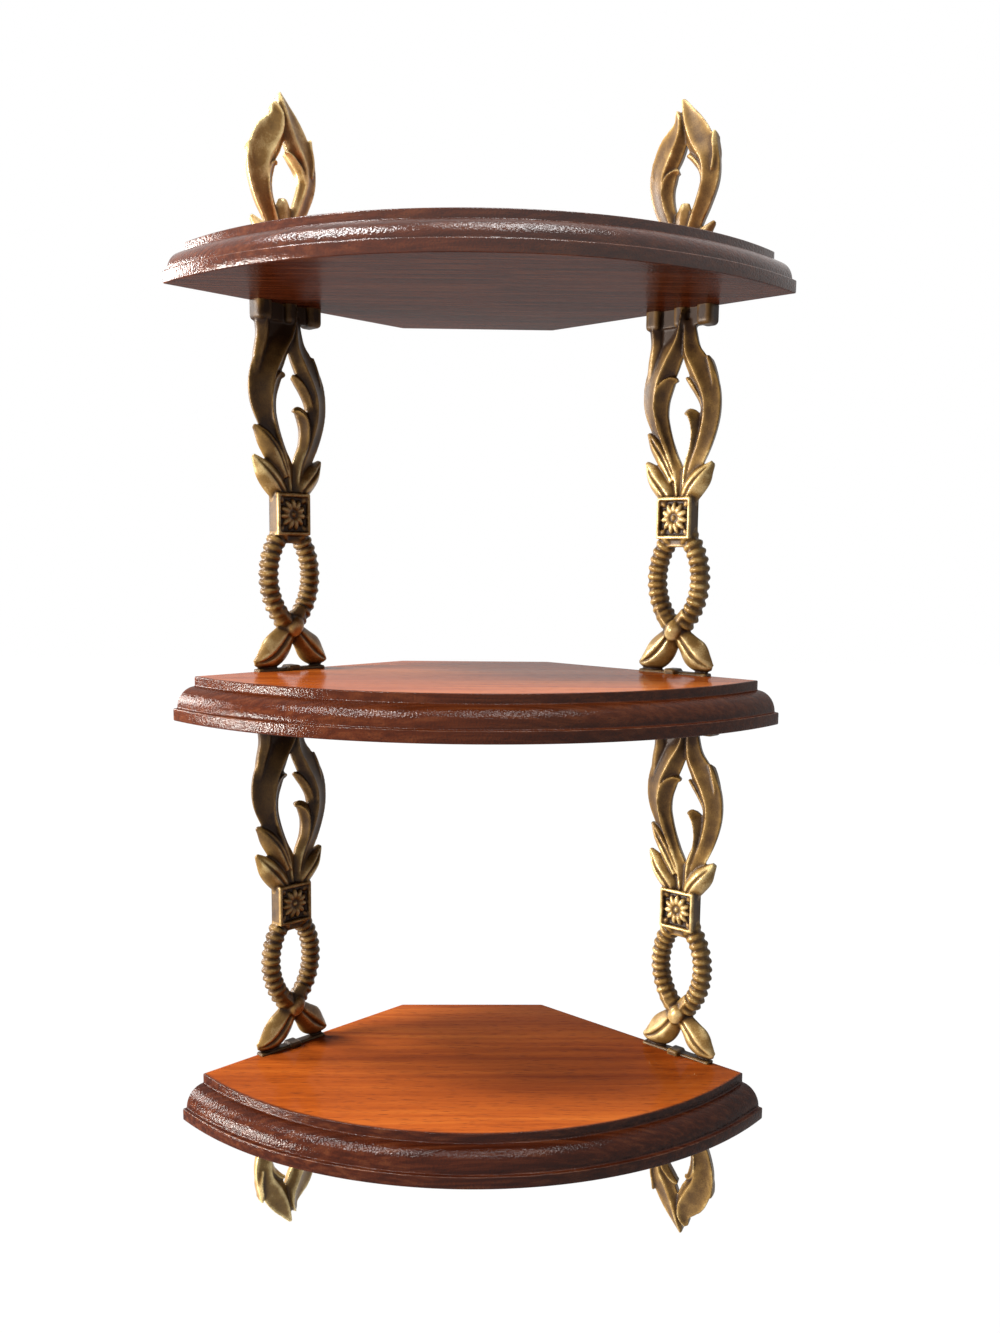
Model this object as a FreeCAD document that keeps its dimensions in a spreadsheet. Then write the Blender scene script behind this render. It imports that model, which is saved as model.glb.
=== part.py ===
import FreeCAD, Part
import math
import os

import Sketcher

# Corner wall shelf: three moulded quarter-round boards held one above the other by cast uprights, with a
# cast finial standing on the top board and the same finial hanging under the bottom one.
# Millimetres, +Z up, front towards -Y. The two walls meet behind the part at right angles, each at 45
# degrees to Y. The origin is the centre of the part's box, on the mid-plane of the middle board.

Vector = FreeCAD.Vector
doc = FreeCAD.newDocument("corner_wall_shelf")

# Driving sizes
SIZES = (
    ("shelf_thickness", "22.5", "thickness of each board"),
    ("back_half_width", "44.8", "half width of the cut-off back, and its distance from the walls' corner"),
    ("back_corner_radius", "3", "easing of the two back corners"),
    ("front_radius", "205.4", "radius of the front edge at its lower band"),
    ("front_centre", "31.2", "distance of the front edge's centre from the walls' corner"),
    ("moulding_projection", "13.3", "how far the lower band stands out past the top edge"),
    ("ovolo_radius", "10.9", "radius of the moulding's round"),
    ("ovolo_flats", "4", "flats that make up the moulding's round"),
    ("band_height", "6.5", "height of the square band under the round"),
    ("left_top_finial_inset", "71.8", "casting's middle from the front tip, along the left wall"),
    ("left_upper_upright_inset", "74.8", "casting's middle from the front tip, along the left wall"),
    ("left_lower_upright_inset", "72.8", "casting's middle from the front tip, along the left wall"),
    ("left_drop_finial_inset", "67.3", "casting's middle from the front tip, along the left wall"),
    ("right_top_finial_inset", "68.3", "casting's middle from the front tip, along the right wall"),
    ("right_upper_upright_inset", "66.3", "casting's middle from the front tip, along the right wall"),
    ("right_lower_upright_inset", "56.3", "casting's middle from the front tip, along the right wall"),
    ("right_drop_finial_inset", "49.8", "casting's middle from the front tip, along the right wall"),
    ("stud_diameter", "5", "threaded stud that fastens a casting to a board"),
    ("stud_inset", "5", "stud axis from the wall"),
    ("stud_reach", "8", "thread length in a flange or a finial"),
    ("stud_board_reach", "9", "thread length in a board"),
    ("stud_tip_gap", "0.3", "free depth past each end of a stud"),
    ("thread_gap", "0.05", "radial gap between a stud and its hole"),
    ("base_length", "52", "foot bar of an upright"),
    ("base_height", "3", "foot bar of an upright"),
    ("base_depth", "9.5", "foot bar of an upright, from the wall"),
    ("foot_height", "24", "crossing of the two strands above the board"),
    ("foot_spread", "25.5", "leaf feet's tips from the upright's middle"),
    ("foot_depth", "9", "relief of the leaf foot that crosses in front"),
    ("rear_foot_depth", "7.5", "relief of the leaf foot behind"),
    ("loop_rise", "29", "widest place of the rope loop above the crossing"),
    ("loop_spread", "14.5", "strand's middle from the upright's middle at the widest place"),
    ("loop_height", "49", "underside of the block above the crossing"),
    ("strand_start", "5", "lowest rib above the crossing"),
    ("strand_width", "11.6", "rope strand over its ribs"),
    ("strand_depth", "9.5", "relief of the rope strands"),
    ("rib_depth", "0.9", "depth of the grooves between ribs"),
    ("rib_count", "10", "ribs on each strand"),
    ("block_size", "22.5", "square block of the upright"),
    ("block_depth", "8.5", "square block, from the wall"),
    ("panel_border", "2.4", "frame round the block's sunk panel"),
    ("panel_recess", "1.6", "depth of the sunk panel"),
    ("petal_count", "12", "petals of the rosette"),
    ("petal_height", "1.1", "relief of a petal above the panel"),
    ("petal_margin", "0.8", "petals' tips from the frame round the panel"),
    ("dome_radius", "2.1", "middle of the rosette"),
    ("flame_height", "103", "upright's leaves and blades, from the block to the board above"),
    ("flame_half_width", "26", "half width over the upright's blades"),
    ("front_blade_depth", "9.5", "relief of the blade that crosses in front"),
    ("rear_blade_depth", "7.5", "relief of the blade behind"),
    ("leaf_depth", "8", "relief of the small leaves"),
    ("facet_length", "13", "length of a leaf's facets along its spine"),
    ("flange_length", "44", "bar under the board at the top of an upright"),
    ("flange_height", "9", "bar at the top of an upright"),
    ("flange_depth", "10", "bar at the top of an upright, from the wall"),
    ("flange_bevel", "2.5", "bevel of that bar's lower edges"),
    ("finial_height", "86", "finial above its board"),
    ("finial_half_width", "24", "half width over the finial's blades"),
    ("finial_base_length", "42", "foot bar of a finial"),
    ("finial_base_height", "9", "foot bar of a finial"),
    ("back_allowance", "1", "how far ornament is built past the flat back before that is trimmed"),
    ("seat_overlap", "1", "how far a strand runs into the block, and a petal into the panel"),
    ("keyhole_distance", "96", "hanging keyholes from the walls' corner, along the wall"),
    ("keyhole_travel", "8", "rise of the screw's neck in a keyhole, centred on the board's thickness"),
    ("keyhole_head_radius", "4.75", "entry and undercut of a keyhole"),
    ("keyhole_neck_radius", "2.4", "neck slot of a keyhole"),
    ("keyhole_lip", "3.5", "wood left in front of the undercut"),
    ("keyhole_depth", "9.5", "depth of a keyhole"),
)

# Ornament drawn as spines: each place is (across, up, half width). Across and half width are shares of the
# half width named for that group, up is a share of its height.
FRONT_FOOT = ((0.27, 1.29, 0.18), (0.02, 1.02, 0.17), (-0.37, 0.61, 0.32), (-0.61, 0.37, 0.29),
              (-0.8, 0.23, 0.16), (-0.99, 0.16, 0.04))
REAR_FOOT = ((-0.27, 1.29, 0.18), (0.02, 1.02, 0.17), (0.43, 0.63, 0.27), (0.61, 0.4, 0.27),
             (0.8, 0.22, 0.17), (0.99, 0.14, 0.04))
FLAME_FRONT_BLADE = ((0.02, -0.03, 0.1), (-0.12, 0.17, 0.14), (-0.5, 0.385, 0.27), (-0.64, 0.52, 0.34),
                     (-0.56, 0.645, 0.38), (-0.33, 0.76, 0.35), (-0.03, 0.865, 0.22), (0.23, 0.96, 0.06))
FLAME_REAR_BLADE = ((0.13, -0.03, 0.1), (0.36, 0.16, 0.2), (0.65, 0.335, 0.26), (0.755, 0.46, 0.28),
                    (0.68, 0.575, 0.29), (0.48, 0.69, 0.27), (0.27, 0.8, 0.22), (0.2, 0.95, 0.13))
FLAME_STRUT = ((-0.68, 0.72, 0.12), (-0.76, 0.86, 0.13), (-0.8, 0.96, 0.16))
FLAME_FRONT_BARB = ((-0.28, 0.36, 0.06), (-0.34, 0.505, 0.13), (-0.27, 0.585, 0.12), (-0.11, 0.63, 0.03))
FLAME_UPPER_BARB = ((0.58, 0.44, 0.06), (0.45, 0.53, 0.14), (0.29, 0.59, 0.12), (0.13, 0.628, 0.03))
FLAME_LOWER_BARB = ((0.26, 0.19, 0.06), (0.42, 0.31, 0.16), (0.39, 0.385, 0.15), (0.16, 0.425, 0.03))
FLAME_LOW_LEFT_LEAF = ((-0.03, 0.02, 0.1), (-0.38, 0.085, 0.24), (-0.68, 0.15, 0.2), (-0.88, 0.2, 0.03))
FLAME_HIGH_LEFT_LEAF = ((-0.08, 0.12, 0.1), (-0.36, 0.235, 0.2), (-0.62, 0.295, 0.16), (-0.86, 0.35, 0.03))
FLAME_RIGHT_LEAF = ((0.12, 0.02, 0.1), (0.45, 0.08, 0.22), (0.72, 0.13, 0.17), (0.9, 0.175, 0.03))
FINIAL_LEFT_BLADE = ((-0.08, 0.04, 0.17), (-0.33, 0.23, 0.23), (-0.56, 0.37, 0.29), (-0.65, 0.49, 0.33),
                     (-0.6, 0.59, 0.36), (-0.42, 0.7, 0.36), (-0.23, 0.785, 0.28), (-0.15, 0.87, 0.13),
                     (-0.17, 0.92, 0.03))
FINIAL_RIGHT_BLADE = ((0.08, 0.04, 0.17), (0.38, 0.23, 0.23), (0.6, 0.37, 0.25), (0.71, 0.49, 0.28),
                      (0.67, 0.615, 0.28), (0.48, 0.72, 0.3), (0.25, 0.825, 0.26), (0.06, 0.92, 0.13),
                      (-0.08, 1.0, 0.03))
FINIAL_LEFT_BARB = ((-0.32, 0.42, 0.06), (-0.34, 0.51, 0.12), (-0.27, 0.56, 0.1), (-0.14, 0.585, 0.03))
FINIAL_RIGHT_BARB = ((0.48, 0.48, 0.06), (0.4, 0.57, 0.13), (0.25, 0.63, 0.11), (0.07, 0.65, 0.03))
FINIAL_LEFT_THORN = ((-0.8, 0.5, 0.08), (-0.87, 0.59, 0.1), (-0.95, 0.66, 0.03))
FINIAL_RIGHT_THORN = ((0.79, 0.58, 0.08), (0.83, 0.7, 0.1), (0.82, 0.775, 0.03))
FINIAL_LEFT_LEAF = ((-0.08, 0.07, 0.12), (-0.42, 0.14, 0.21), (-0.65, 0.2, 0.16), (-0.82, 0.26, 0.03))
FINIAL_RIGHT_LEAF = ((0.08, 0.07, 0.12), (0.42, 0.14, 0.21), (0.65, 0.195, 0.16), (0.83, 0.25, 0.03))
FINIAL_BUD = ((0.03, 0.16, 0.16), (0.02, 0.3, 0.17), (0.01, 0.375, 0.06))

RIM_SHARE = 0.55          # height of a leaf's rim as a share of its ridge
BACK_STEP = 0.15          # growth of the back allowance between neighbours, so that no backs coincide
FEWEST_FACETS = 3         # facets along the shortest leaf
RIB_PLACES = (0.0, 0.5)   # sections of a rib: its groove, then its crown
CROWN_FACETS = 3          # facets across a strand's round front
CROWN_SPRING = 0.4        # relief where that round springs, as a share of the strand's
PETAL_FILL = 0.85         # width of a petal as a share of the room between its neighbours
PETAL_SHOULDER = 0.78     # widest place of a petal along its length
PETAL_TIP = 0.5           # width of a petal's end as a share of its widest place
PETAL_ROOT = 0.5          # where a petal starts, as a share of the dome's radius
SAME_PLACE = 0.01         # two points closer than this are the same corner
LEFT = -1
RIGHT = 1


def make_sheet():
    """The spreadsheet of driving sizes."""
    table = doc.addObject("Spreadsheet::Sheet", "sizes")
    for row, (alias, value, note) in enumerate(SIZES, start=1):
        table.set("A%d" % row, note)
        table.set("B%d" % row, value)
        table.setAlias("B%d" % row, alias)
    doc.recompute()
    return table


sheet = make_sheet()


def size(alias):
    """A driving size as a number."""
    return float(sheet.get(alias))


# Places that several pieces share, written with the sheet's names
UPRIGHT_HEIGHT = "(sizes.foot_height + sizes.loop_height + sizes.block_size + sizes.flame_height)"
Y_SHIFT = "(sizes.back_half_width + sizes.front_centre + sizes.front_radius) / 2"
TIP_REACH = "((sizes.front_centre + sqrt(2 * sizes.front_radius ^ 2 - sizes.front_centre ^ 2)) / 2)"
SHELF_UNDERSIDES = {
    "top": "(%s + sizes.shelf_thickness / 2)" % UPRIGHT_HEIGHT,
    "middle": "(-sizes.shelf_thickness / 2)",
    "bottom": "(-%s - sizes.shelf_thickness * 1.5)" % UPRIGHT_HEIGHT,
}
STUD_HOLE_RADIUS = "sizes.stud_diameter / 2 + sizes.thread_gap"
STUD_HOLE_DEPTH = "sizes.stud_reach + sizes.stud_tip_gap"
BOARD_HOLE_DEPTH = "sizes.stud_board_reach + sizes.stud_tip_gap"
KEYHOLE_ENTRY = "(sizes.shelf_thickness - sizes.keyhole_travel) / 2"
KEYHOLE_TOP = "(sizes.shelf_thickness + sizes.keyhole_travel) / 2"
SIDES = {"left": LEFT, "right": RIGHT}
CASTING_ABOVE = {"top": "top_finial", "middle": "upper_upright", "bottom": "lower_upright"}
CASTING_BELOW = {"top": "upper_upright", "middle": "lower_upright", "bottom": "drop_finial"}


def tip_reach():
    """How far a board's front tips lie to the side of the walls' corner, which is also how far in front."""
    radius = size("front_radius")
    centre = size("front_centre")
    return (centre + math.sqrt(2 * radius ** 2 - centre ** 2)) / 2


def wall_place(side_name, piece, from_wall):
    """Expressions for X and Y of a point on a casting's middle, a given distance from the wall."""
    inset = "sizes.%s_%s_inset" % (side_name, piece)
    across = "%d * (%s - (%s + %s) * cos(45 deg))" % (SIDES[side_name], TIP_REACH, inset, from_wall)
    along = "-(%s - (%s - %s) * cos(45 deg))" % (TIP_REACH, inset, from_wall)
    return across, along


def bind(item, **expressions):
    """Bind properties to the sheet; double underscores in a name stand for dots."""
    for path, expression in expressions.items():
        item.setExpression(path.replace("__", "."), str(expression))


# Boards
def origin_plane(body, role):
    """The body's own origin plane of the given role."""
    return next(plane for plane in body.Origin.OriginFeatures if plane.Role == role)


def new_sketch(body, name, role):
    """An empty sketch on one of the body's origin planes."""
    sketch = body.newObject("Sketcher::SketchObject", name)
    sketch.AttachmentSupport = (origin_plane(body, role), [""])
    sketch.MapMode = "FlatFace"
    return sketch


def constrain(sketch, name, expression, kind, *where):
    """Add a named dimension to a sketch and bind it."""
    index = sketch.addConstraint(Sketcher.Constraint(kind, *where))
    sketch.renameConstraint(index, name)
    sketch.setExpression("Constraints." + name, expression)


def outline_sketch(body):
    """The board from above: cut-off back, two wall edges at 45 degrees and the round front."""
    back = size("back_half_width")
    radius = size("front_radius")
    centre = size("front_centre")
    reach = tip_reach()
    corners = [Vector(-back, -back, 0), Vector(back, -back, 0), Vector(reach, -reach, 0),
               Vector(-reach, -reach, 0)]
    sketch = new_sketch(body, "outline", "XY_Plane")
    for first, last in zip(corners[:2], corners[1:3]):
        sketch.addGeometry(Part.LineSegment(first, last))
    sketch.addGeometry(Part.LineSegment(corners[3], corners[0]))
    turn = math.atan2(centre - reach, reach)
    circle = Part.Circle(Vector(0, -centre, 0), Vector(0, 0, 1), radius)
    sketch.addGeometry(Part.ArcOfCircle(circle, -math.pi - turn, turn))
    back_line, right_line, left_line, front_arc = range(4)
    start, end, middle = 1, 2, 3
    origin, vertical_axis = -1, -2
    for joint in ((back_line, end, right_line, start), (right_line, end, front_arc, end),
                  (front_arc, start, left_line, start), (left_line, end, back_line, start)):
        sketch.addConstraint(Sketcher.Constraint("Coincident", *joint))
    sketch.addConstraint(Sketcher.Constraint("Symmetric", back_line, start, back_line, end, vertical_axis))
    sketch.addConstraint(Sketcher.Constraint("PointOnObject", front_arc, middle, vertical_axis))
    sketch.addConstraint(Sketcher.Constraint("PointOnObject", origin, start, right_line))
    sketch.addConstraint(Sketcher.Constraint("PointOnObject", origin, start, left_line))
    constrain(sketch, "back_half", "sizes.back_half_width", "DistanceX", origin, 1, back_line, end, back)
    constrain(sketch, "back_place", "sizes.back_half_width", "DistanceY", back_line, end, origin, 1, back)
    constrain(sketch, "centre_place", "sizes.front_centre", "DistanceY", front_arc, middle, origin, 1, centre)
    constrain(sketch, "radius", "sizes.front_radius", "Radius", front_arc, radius)
    return sketch


def moulding_sketch(body):
    """Section of what the moulding cutter takes off: square fillet, round in flats and ledge."""
    outer = size("front_radius")
    inner = outer - size("moulding_projection")
    spare = size("moulding_projection")
    above = size("shelf_thickness") + spare
    flats = int(size("ovolo_flats"))
    turns = [90 * flat / flats for flat in range(flats + 1)]
    round_corners = [Vector(-inner - size("ovolo_radius") * math.sin(math.radians(turn)),
                            size("band_height") + size("ovolo_radius") * math.cos(math.radians(turn)), 0)
                     for turn in turns]
    points = [Vector(-inner, above, 0)] + round_corners
    points += [Vector(-outer - spare, size("band_height"), 0), Vector(-outer - spare, above, 0)]
    sketch = new_sketch(body, "moulding", "YZ_Plane")
    sketch.setExpression("AttachmentOffset.Base.x", "-sizes.front_centre")
    lines = range(len(points))
    for first, last in zip(points, points[1:] + points[:1]):
        sketch.addGeometry(Part.LineSegment(first, last))
    fillet, ledge, outside, over = 0, flats + 1, flats + 2, flats + 3
    start, end = 1, 2
    origin = -1
    for line in lines:
        sketch.addConstraint(Sketcher.Constraint("Coincident", line, end, (line + 1) % len(lines), start))
    for line in (fillet, outside):
        sketch.addConstraint(Sketcher.Constraint("Vertical", line))
    for line in (ledge, over):
        sketch.addConstraint(Sketcher.Constraint("Horizontal", line))
    for number, (turn, corner) in enumerate(zip(turns, round_corners), start=1):
        constrain(sketch, "round_out_%d" % number,
                  "sizes.front_radius - sizes.moulding_projection + sizes.ovolo_radius * sin(%g deg)" % turn,
                  "DistanceX", number, start, origin, 1, -corner.x)
        constrain(sketch, "round_up_%d" % number,
                  "sizes.band_height + sizes.ovolo_radius * cos(%g deg)" % turn,
                  "DistanceY", origin, 1, number, start, corner.y)
    constrain(sketch, "outer", "sizes.front_radius + sizes.moulding_projection",
              "DistanceX", outside, start, origin, 1, outer + spare)
    constrain(sketch, "over", "sizes.shelf_thickness + sizes.moulding_projection",
              "DistanceY", origin, 1, outside, end, above)
    return sketch


def stud_hole_sketch(body, piece, face_level):
    """One stud hole for each wall's casting on one face of the board."""
    sketch = new_sketch(body, piece + "_holes", "XY_Plane")
    sketch.setExpression("AttachmentOffset.Base.z", face_level)
    origin = -1
    for index, side_name in enumerate(SIDES):
        across, along = wall_place(side_name, piece, "sizes.stud_inset")
        inset = size("%s_%s_inset" % (side_name, piece))
        from_wall = size("stud_inset")
        radius = size("stud_diameter") / 2 + size("thread_gap")
        place = Vector(SIDES[side_name] * (tip_reach() - (inset + from_wall) * math.cos(math.pi / 4)),
                       -tip_reach() + (inset - from_wall) * math.cos(math.pi / 4), 0)
        sketch.addGeometry(Part.Circle(place, Vector(0, 0, 1), radius))
        if SIDES[side_name] == LEFT:
            constrain(sketch, side_name + "_across", "-(%s)" % across,
                      "DistanceX", index, 3, origin, 1, abs(place.x))
        else:
            constrain(sketch, side_name + "_across", across, "DistanceX", origin, 1, index, 3, abs(place.x))
        constrain(sketch, side_name + "_along", "-(%s)" % along,
                  "DistanceY", index, 3, origin, 1, abs(place.y))
        constrain(sketch, side_name + "_radius", STUD_HOLE_RADIUS, "Radius", index, radius)
    return sketch


def make_board(name, level):
    """A board with eased back corners, moulded front and blind stud holes in both faces."""
    body = doc.addObject("PartDesign::Body", name)
    board = body.newObject("PartDesign::Pad", "board")
    board.Profile = outline_sketch(body)
    bind(board, Length="sizes.shelf_thickness")
    doc.recompute()
    back = size("back_half_width")
    back_edges = ["Edge%d" % number for number, edge in enumerate(board.Shape.Edges, start=1)
                  if edge.BoundBox.ZLength > SAME_PLACE
                  and all(abs(vertex.Y + back) < SAME_PLACE for vertex in edge.Vertexes)]
    easing = body.newObject("PartDesign::Fillet", "back_corners")
    easing.Base = (board, back_edges)
    bind(easing, Radius="sizes.back_corner_radius")
    groove = body.newObject("PartDesign::Groove", "front_moulding")
    section = moulding_sketch(body)
    groove.Profile = section
    groove.ReferenceAxis = (section, ["V_Axis"])
    groove.Angle = 360.0
    cuts = [groove]
    for piece, face_level, upwards in ((CASTING_ABOVE[level], "sizes.shelf_thickness", False),
                                       (CASTING_BELOW[level], "0 mm", True)):
        holes = body.newObject("PartDesign::Pocket", piece + "_stud_holes")
        holes.Profile = stud_hole_sketch(body, piece, face_level)
        holes.Reversed = upwards
        bind(holes, Length=BOARD_HOLE_DEPTH)
        cuts.append(holes)
    doc.recompute()
    for feature in cuts:
        taken = feature.BaseFeature.Shape.Volume - feature.Shape.Volume
        if taken < 1.0:
            raise RuntimeError("%s of %s cuts nothing" % (feature.Name, name))
    return body


def keyhole_cutter(side_name):
    """Entry hole, neck slot and undercut of a hanging keyhole, with the wall on Y = 0."""
    pieces = []
    rounds = (("entry", "keyhole_head_radius", "0", KEYHOLE_ENTRY),
              ("neck_end", "keyhole_neck_radius", "0", KEYHOLE_TOP),
              ("undercut_end", "keyhole_head_radius", "sizes.keyhole_lip", KEYHOLE_TOP))
    for label, radius_name, start, level in rounds:
        hole = doc.addObject("Part::Cylinder", "%s_keyhole_%s" % (side_name, label))
        hole.Placement.Rotation = FreeCAD.Rotation(Vector(1, 0, 0), 90)
        bind(hole, Radius="sizes.%s" % radius_name, Height="sizes.keyhole_depth - %s" % start,
             Placement__Base__x="%d * sizes.keyhole_distance" % SIDES[side_name],
             Placement__Base__y="-(%s)" % start, Placement__Base__z=level)
        pieces.append(hole)
    for label, radius_name, start in (("neck", "keyhole_neck_radius", "0"),
                                      ("undercut", "keyhole_head_radius", "sizes.keyhole_lip")):
        slot = doc.addObject("Part::Box", "%s_keyhole_%s" % (side_name, label))
        bind(slot, Length="2 * sizes.%s" % radius_name, Height="sizes.keyhole_travel",
             Width="sizes.keyhole_depth - %s" % start,
             Placement__Base__x="%d * sizes.keyhole_distance - sizes.%s" % (SIDES[side_name], radius_name),
             Placement__Base__y="-sizes.keyhole_depth", Placement__Base__z=KEYHOLE_ENTRY)
        pieces.append(slot)
    cutter = doc.addObject("Part::MultiFuse", "%s_keyhole" % side_name)
    cutter.Shapes = pieces
    cutter.Placement = FreeCAD.Placement(Vector(0, 0, 0), wall_turn(side_name))
    return cutter


def wall_turn(side_name):
    """Rotation that sets a piece drawn with its back to +Y against one wall."""
    return FreeCAD.Rotation(Vector(0, 0, 1), -45 * SIDES[side_name])


def make_shelves():
    """The three boards; the top one also has the hanging keyholes in its wall edges."""
    nodes = []
    for level, underside in SHELF_UNDERSIDES.items():
        name = level + "_shelf"
        if level == "top":
            board = make_board("top_board", level)
            shelf = doc.addObject("Part::Cut", name)
            keyholes = doc.addObject("Part::MultiFuse", "keyholes")
            keyholes.Shapes = [keyhole_cutter(side_name) for side_name in SIDES]
            shelf.Base = board
            shelf.Tool = keyholes
        else:
            shelf = make_board(name, level)
        shelf.Label = name
        bind(shelf, Placement__Base__y=Y_SHIFT, Placement__Base__z=underside)
        nodes.append(shelf)
    return nodes


# Castings, drawn with the flat back on Y = 0, the front towards -Y and the foot on Z = 0
def faceted_solid(sections):
    """A closed solid of flat facets through equal-sided sections, which are given as lists of points."""
    faces = [Part.Face(Part.makePolygon(ring + ring[:1])) for ring in (sections[0], sections[-1])]
    for near, far in zip(sections, sections[1:]):
        for side in range(len(near)):
            corner = (side + 1) % len(near)
            for facet in ((near[side], near[corner], far[corner]), (near[side], far[corner], far[side])):
                faces.append(Part.Face(Part.makePolygon(facet + facet[:1])))
    shell = Part.Shell(faces)
    shell.sewShape()
    solid = Part.Solid(shell)
    if solid.Volume < 0:
        solid.reverse()
    return solid


def section(place, across, half_width, profile):
    """Points of a section square to a spine; the profile lists (share of half width, relief)."""
    return [place + across * (share * half_width) + Vector(0, -relief, 0) for share, relief in profile]


def ridged_leaf(name, spine, half_width, height, ridge, foot_level, order):
    """A leaf or blade carried along its spine, with a ridge in front and lower rims."""
    curve = Part.BSplineCurve()
    curve.interpolate([Vector(across * half_width, share * half_width, foot_level + up * height)
                       for across, up, share in spine])
    steps = max(FEWEST_FACETS, round(curve.length() / size("facet_length")))
    back = -size("back_allowance") * (1 + BACK_STEP * order)
    rim = ridge * RIM_SHARE
    profile = ((-1, back), (-1, rim), (0, ridge), (1, rim), (1, back))
    sections = []
    for step in range(steps + 1):
        along = curve.FirstParameter + (curve.LastParameter - curve.FirstParameter) * step / steps
        # The curve's Y carries the half width, so its place and heading are read in X and Z
        spot = curve.value(along)
        heading = curve.tangent(along)[0]
        across = Vector(heading.z, 0, -heading.x).normalize()
        sections.append(section(Vector(spot.x, 0, spot.z), across, spot.y, profile))
    leaf = doc.addObject("Part::Feature", name)
    leaf.Shape = faceted_solid(sections)
    return leaf


def rope_strand(name, side, order):
    """A ribbed strand of the rope loop, along an arc that rises from just above the crossing."""
    rise = size("loop_rise")
    spread = size("loop_spread")
    radius = (rise ** 2 + spread ** 2) / (2 * spread)
    widest = size("foot_height") + rise
    first = math.asin((size("strand_start") - rise) / radius)
    last = math.asin((size("loop_height") + size("seat_overlap") - rise) / radius)
    ribs = int(size("rib_count"))
    half_width = size("strand_width") / 2
    relief = size("strand_depth")
    back = -size("back_allowance") * (1 + BACK_STEP * order)
    sections = []
    for step in range(ribs * len(RIB_PLACES) + 1):
        rib, place_in_rib = divmod(step, len(RIB_PLACES))
        angle = first + (last - first) * (rib + RIB_PLACES[place_in_rib]) / ribs
        place = Vector(side * (spread - radius + radius * math.cos(angle)), 0,
                       widest + radius * math.sin(angle))
        across = Vector(side * math.cos(angle), 0, math.sin(angle))
        sunk = size("rib_depth") if place_in_rib == 0 else 0.0
        spring = relief * CROWN_SPRING
        crown = [(math.cos(turn), spring + (relief - spring - sunk) * math.sin(turn))
                 for turn in (math.pi * part / CROWN_FACETS for part in range(CROWN_FACETS + 1))]
        sections.append(section(place, across, half_width - sunk, [(1, back)] + crown + [(-1, back)]))
    strand = doc.addObject("Part::Feature", name)
    strand.Shape = faceted_solid(sections)
    return strand


def bar(name, length, height, depth, level):
    """A square bar against the wall, centred on the casting."""
    box = doc.addObject("Part::Box", name)
    bind(box, Length=length, Width=depth, Height=height, Placement__Base__x="-(%s) / 2" % length,
         Placement__Base__y="-(%s)" % depth, Placement__Base__z=level)
    return box


def rosette(level):
    """Petals round a flat dome on the floor of the block's panel."""
    count = int(size("petal_count"))
    reach = size("block_size") / 2 - size("panel_border") - size("petal_margin")
    root = size("dome_radius")
    floor = size("block_depth") - size("panel_recess")
    seat = size("seat_overlap")
    centre = Vector(0, -floor, level)
    half_width = reach * math.sin(math.pi / count) * PETAL_FILL
    shoulder = reach * PETAL_SHOULDER
    tip = half_width * PETAL_TIP
    outline = ((root * PETAL_ROOT, 0), (shoulder, half_width), (reach, tip), (reach, -tip),
               (shoulder, -half_width))
    petals = []
    for index in range(count):
        turn = 2 * math.pi * index / count
        points = [centre + Vector(far * math.cos(turn) - wide * math.sin(turn), seat,
                                  far * math.sin(turn) + wide * math.cos(turn)) for far, wide in outline]
        face = Part.Face(Part.makePolygon(points + points[:1]))
        petals.append(face.extrude(Vector(0, -size("petal_height") - seat, 0)))
    rim = [centre + Vector(root * math.cos(turn), seat, root * math.sin(turn))
           for turn in (2 * math.pi * index / count for index in range(count))]
    disc = Part.Face(Part.makePolygon(rim + rim[:1]))
    dome = disc.extrude(Vector(0, -size("panel_recess") - seat, 0))
    flower = doc.addObject("Part::Feature", "rosette")
    flower.Shape = dome.multiFuse(petals)
    return flower


def trim_and_drill(name, blank, height, holes):
    """Trim the casting's back flat and drill the tapped stud holes, given as (level, depth)."""
    reach = size("flange_length") + size("base_length")
    trim = doc.addObject("Part::Box", name + "_back")
    trim.Length = 2 * reach
    trim.Width = reach
    trim.Height = height + 2 * reach
    trim.Placement.Base = Vector(-reach, 0, -reach)
    cuts = [trim]
    for index, (level, depth) in enumerate(holes):
        hole = doc.addObject("Part::Cylinder", "%s_hole_%d" % (name, index))
        bind(hole, Radius=STUD_HOLE_RADIUS, Height=depth, Placement__Base__y="-sizes.stud_inset",
             Placement__Base__z=level)
        cuts.append(hole)
    tools = doc.addObject("Part::MultiFuse", name + "_cuts")
    tools.Shapes = cuts
    casting = doc.addObject("Part::Cut", name)
    casting.Base = blank
    casting.Tool = tools
    return casting


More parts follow.
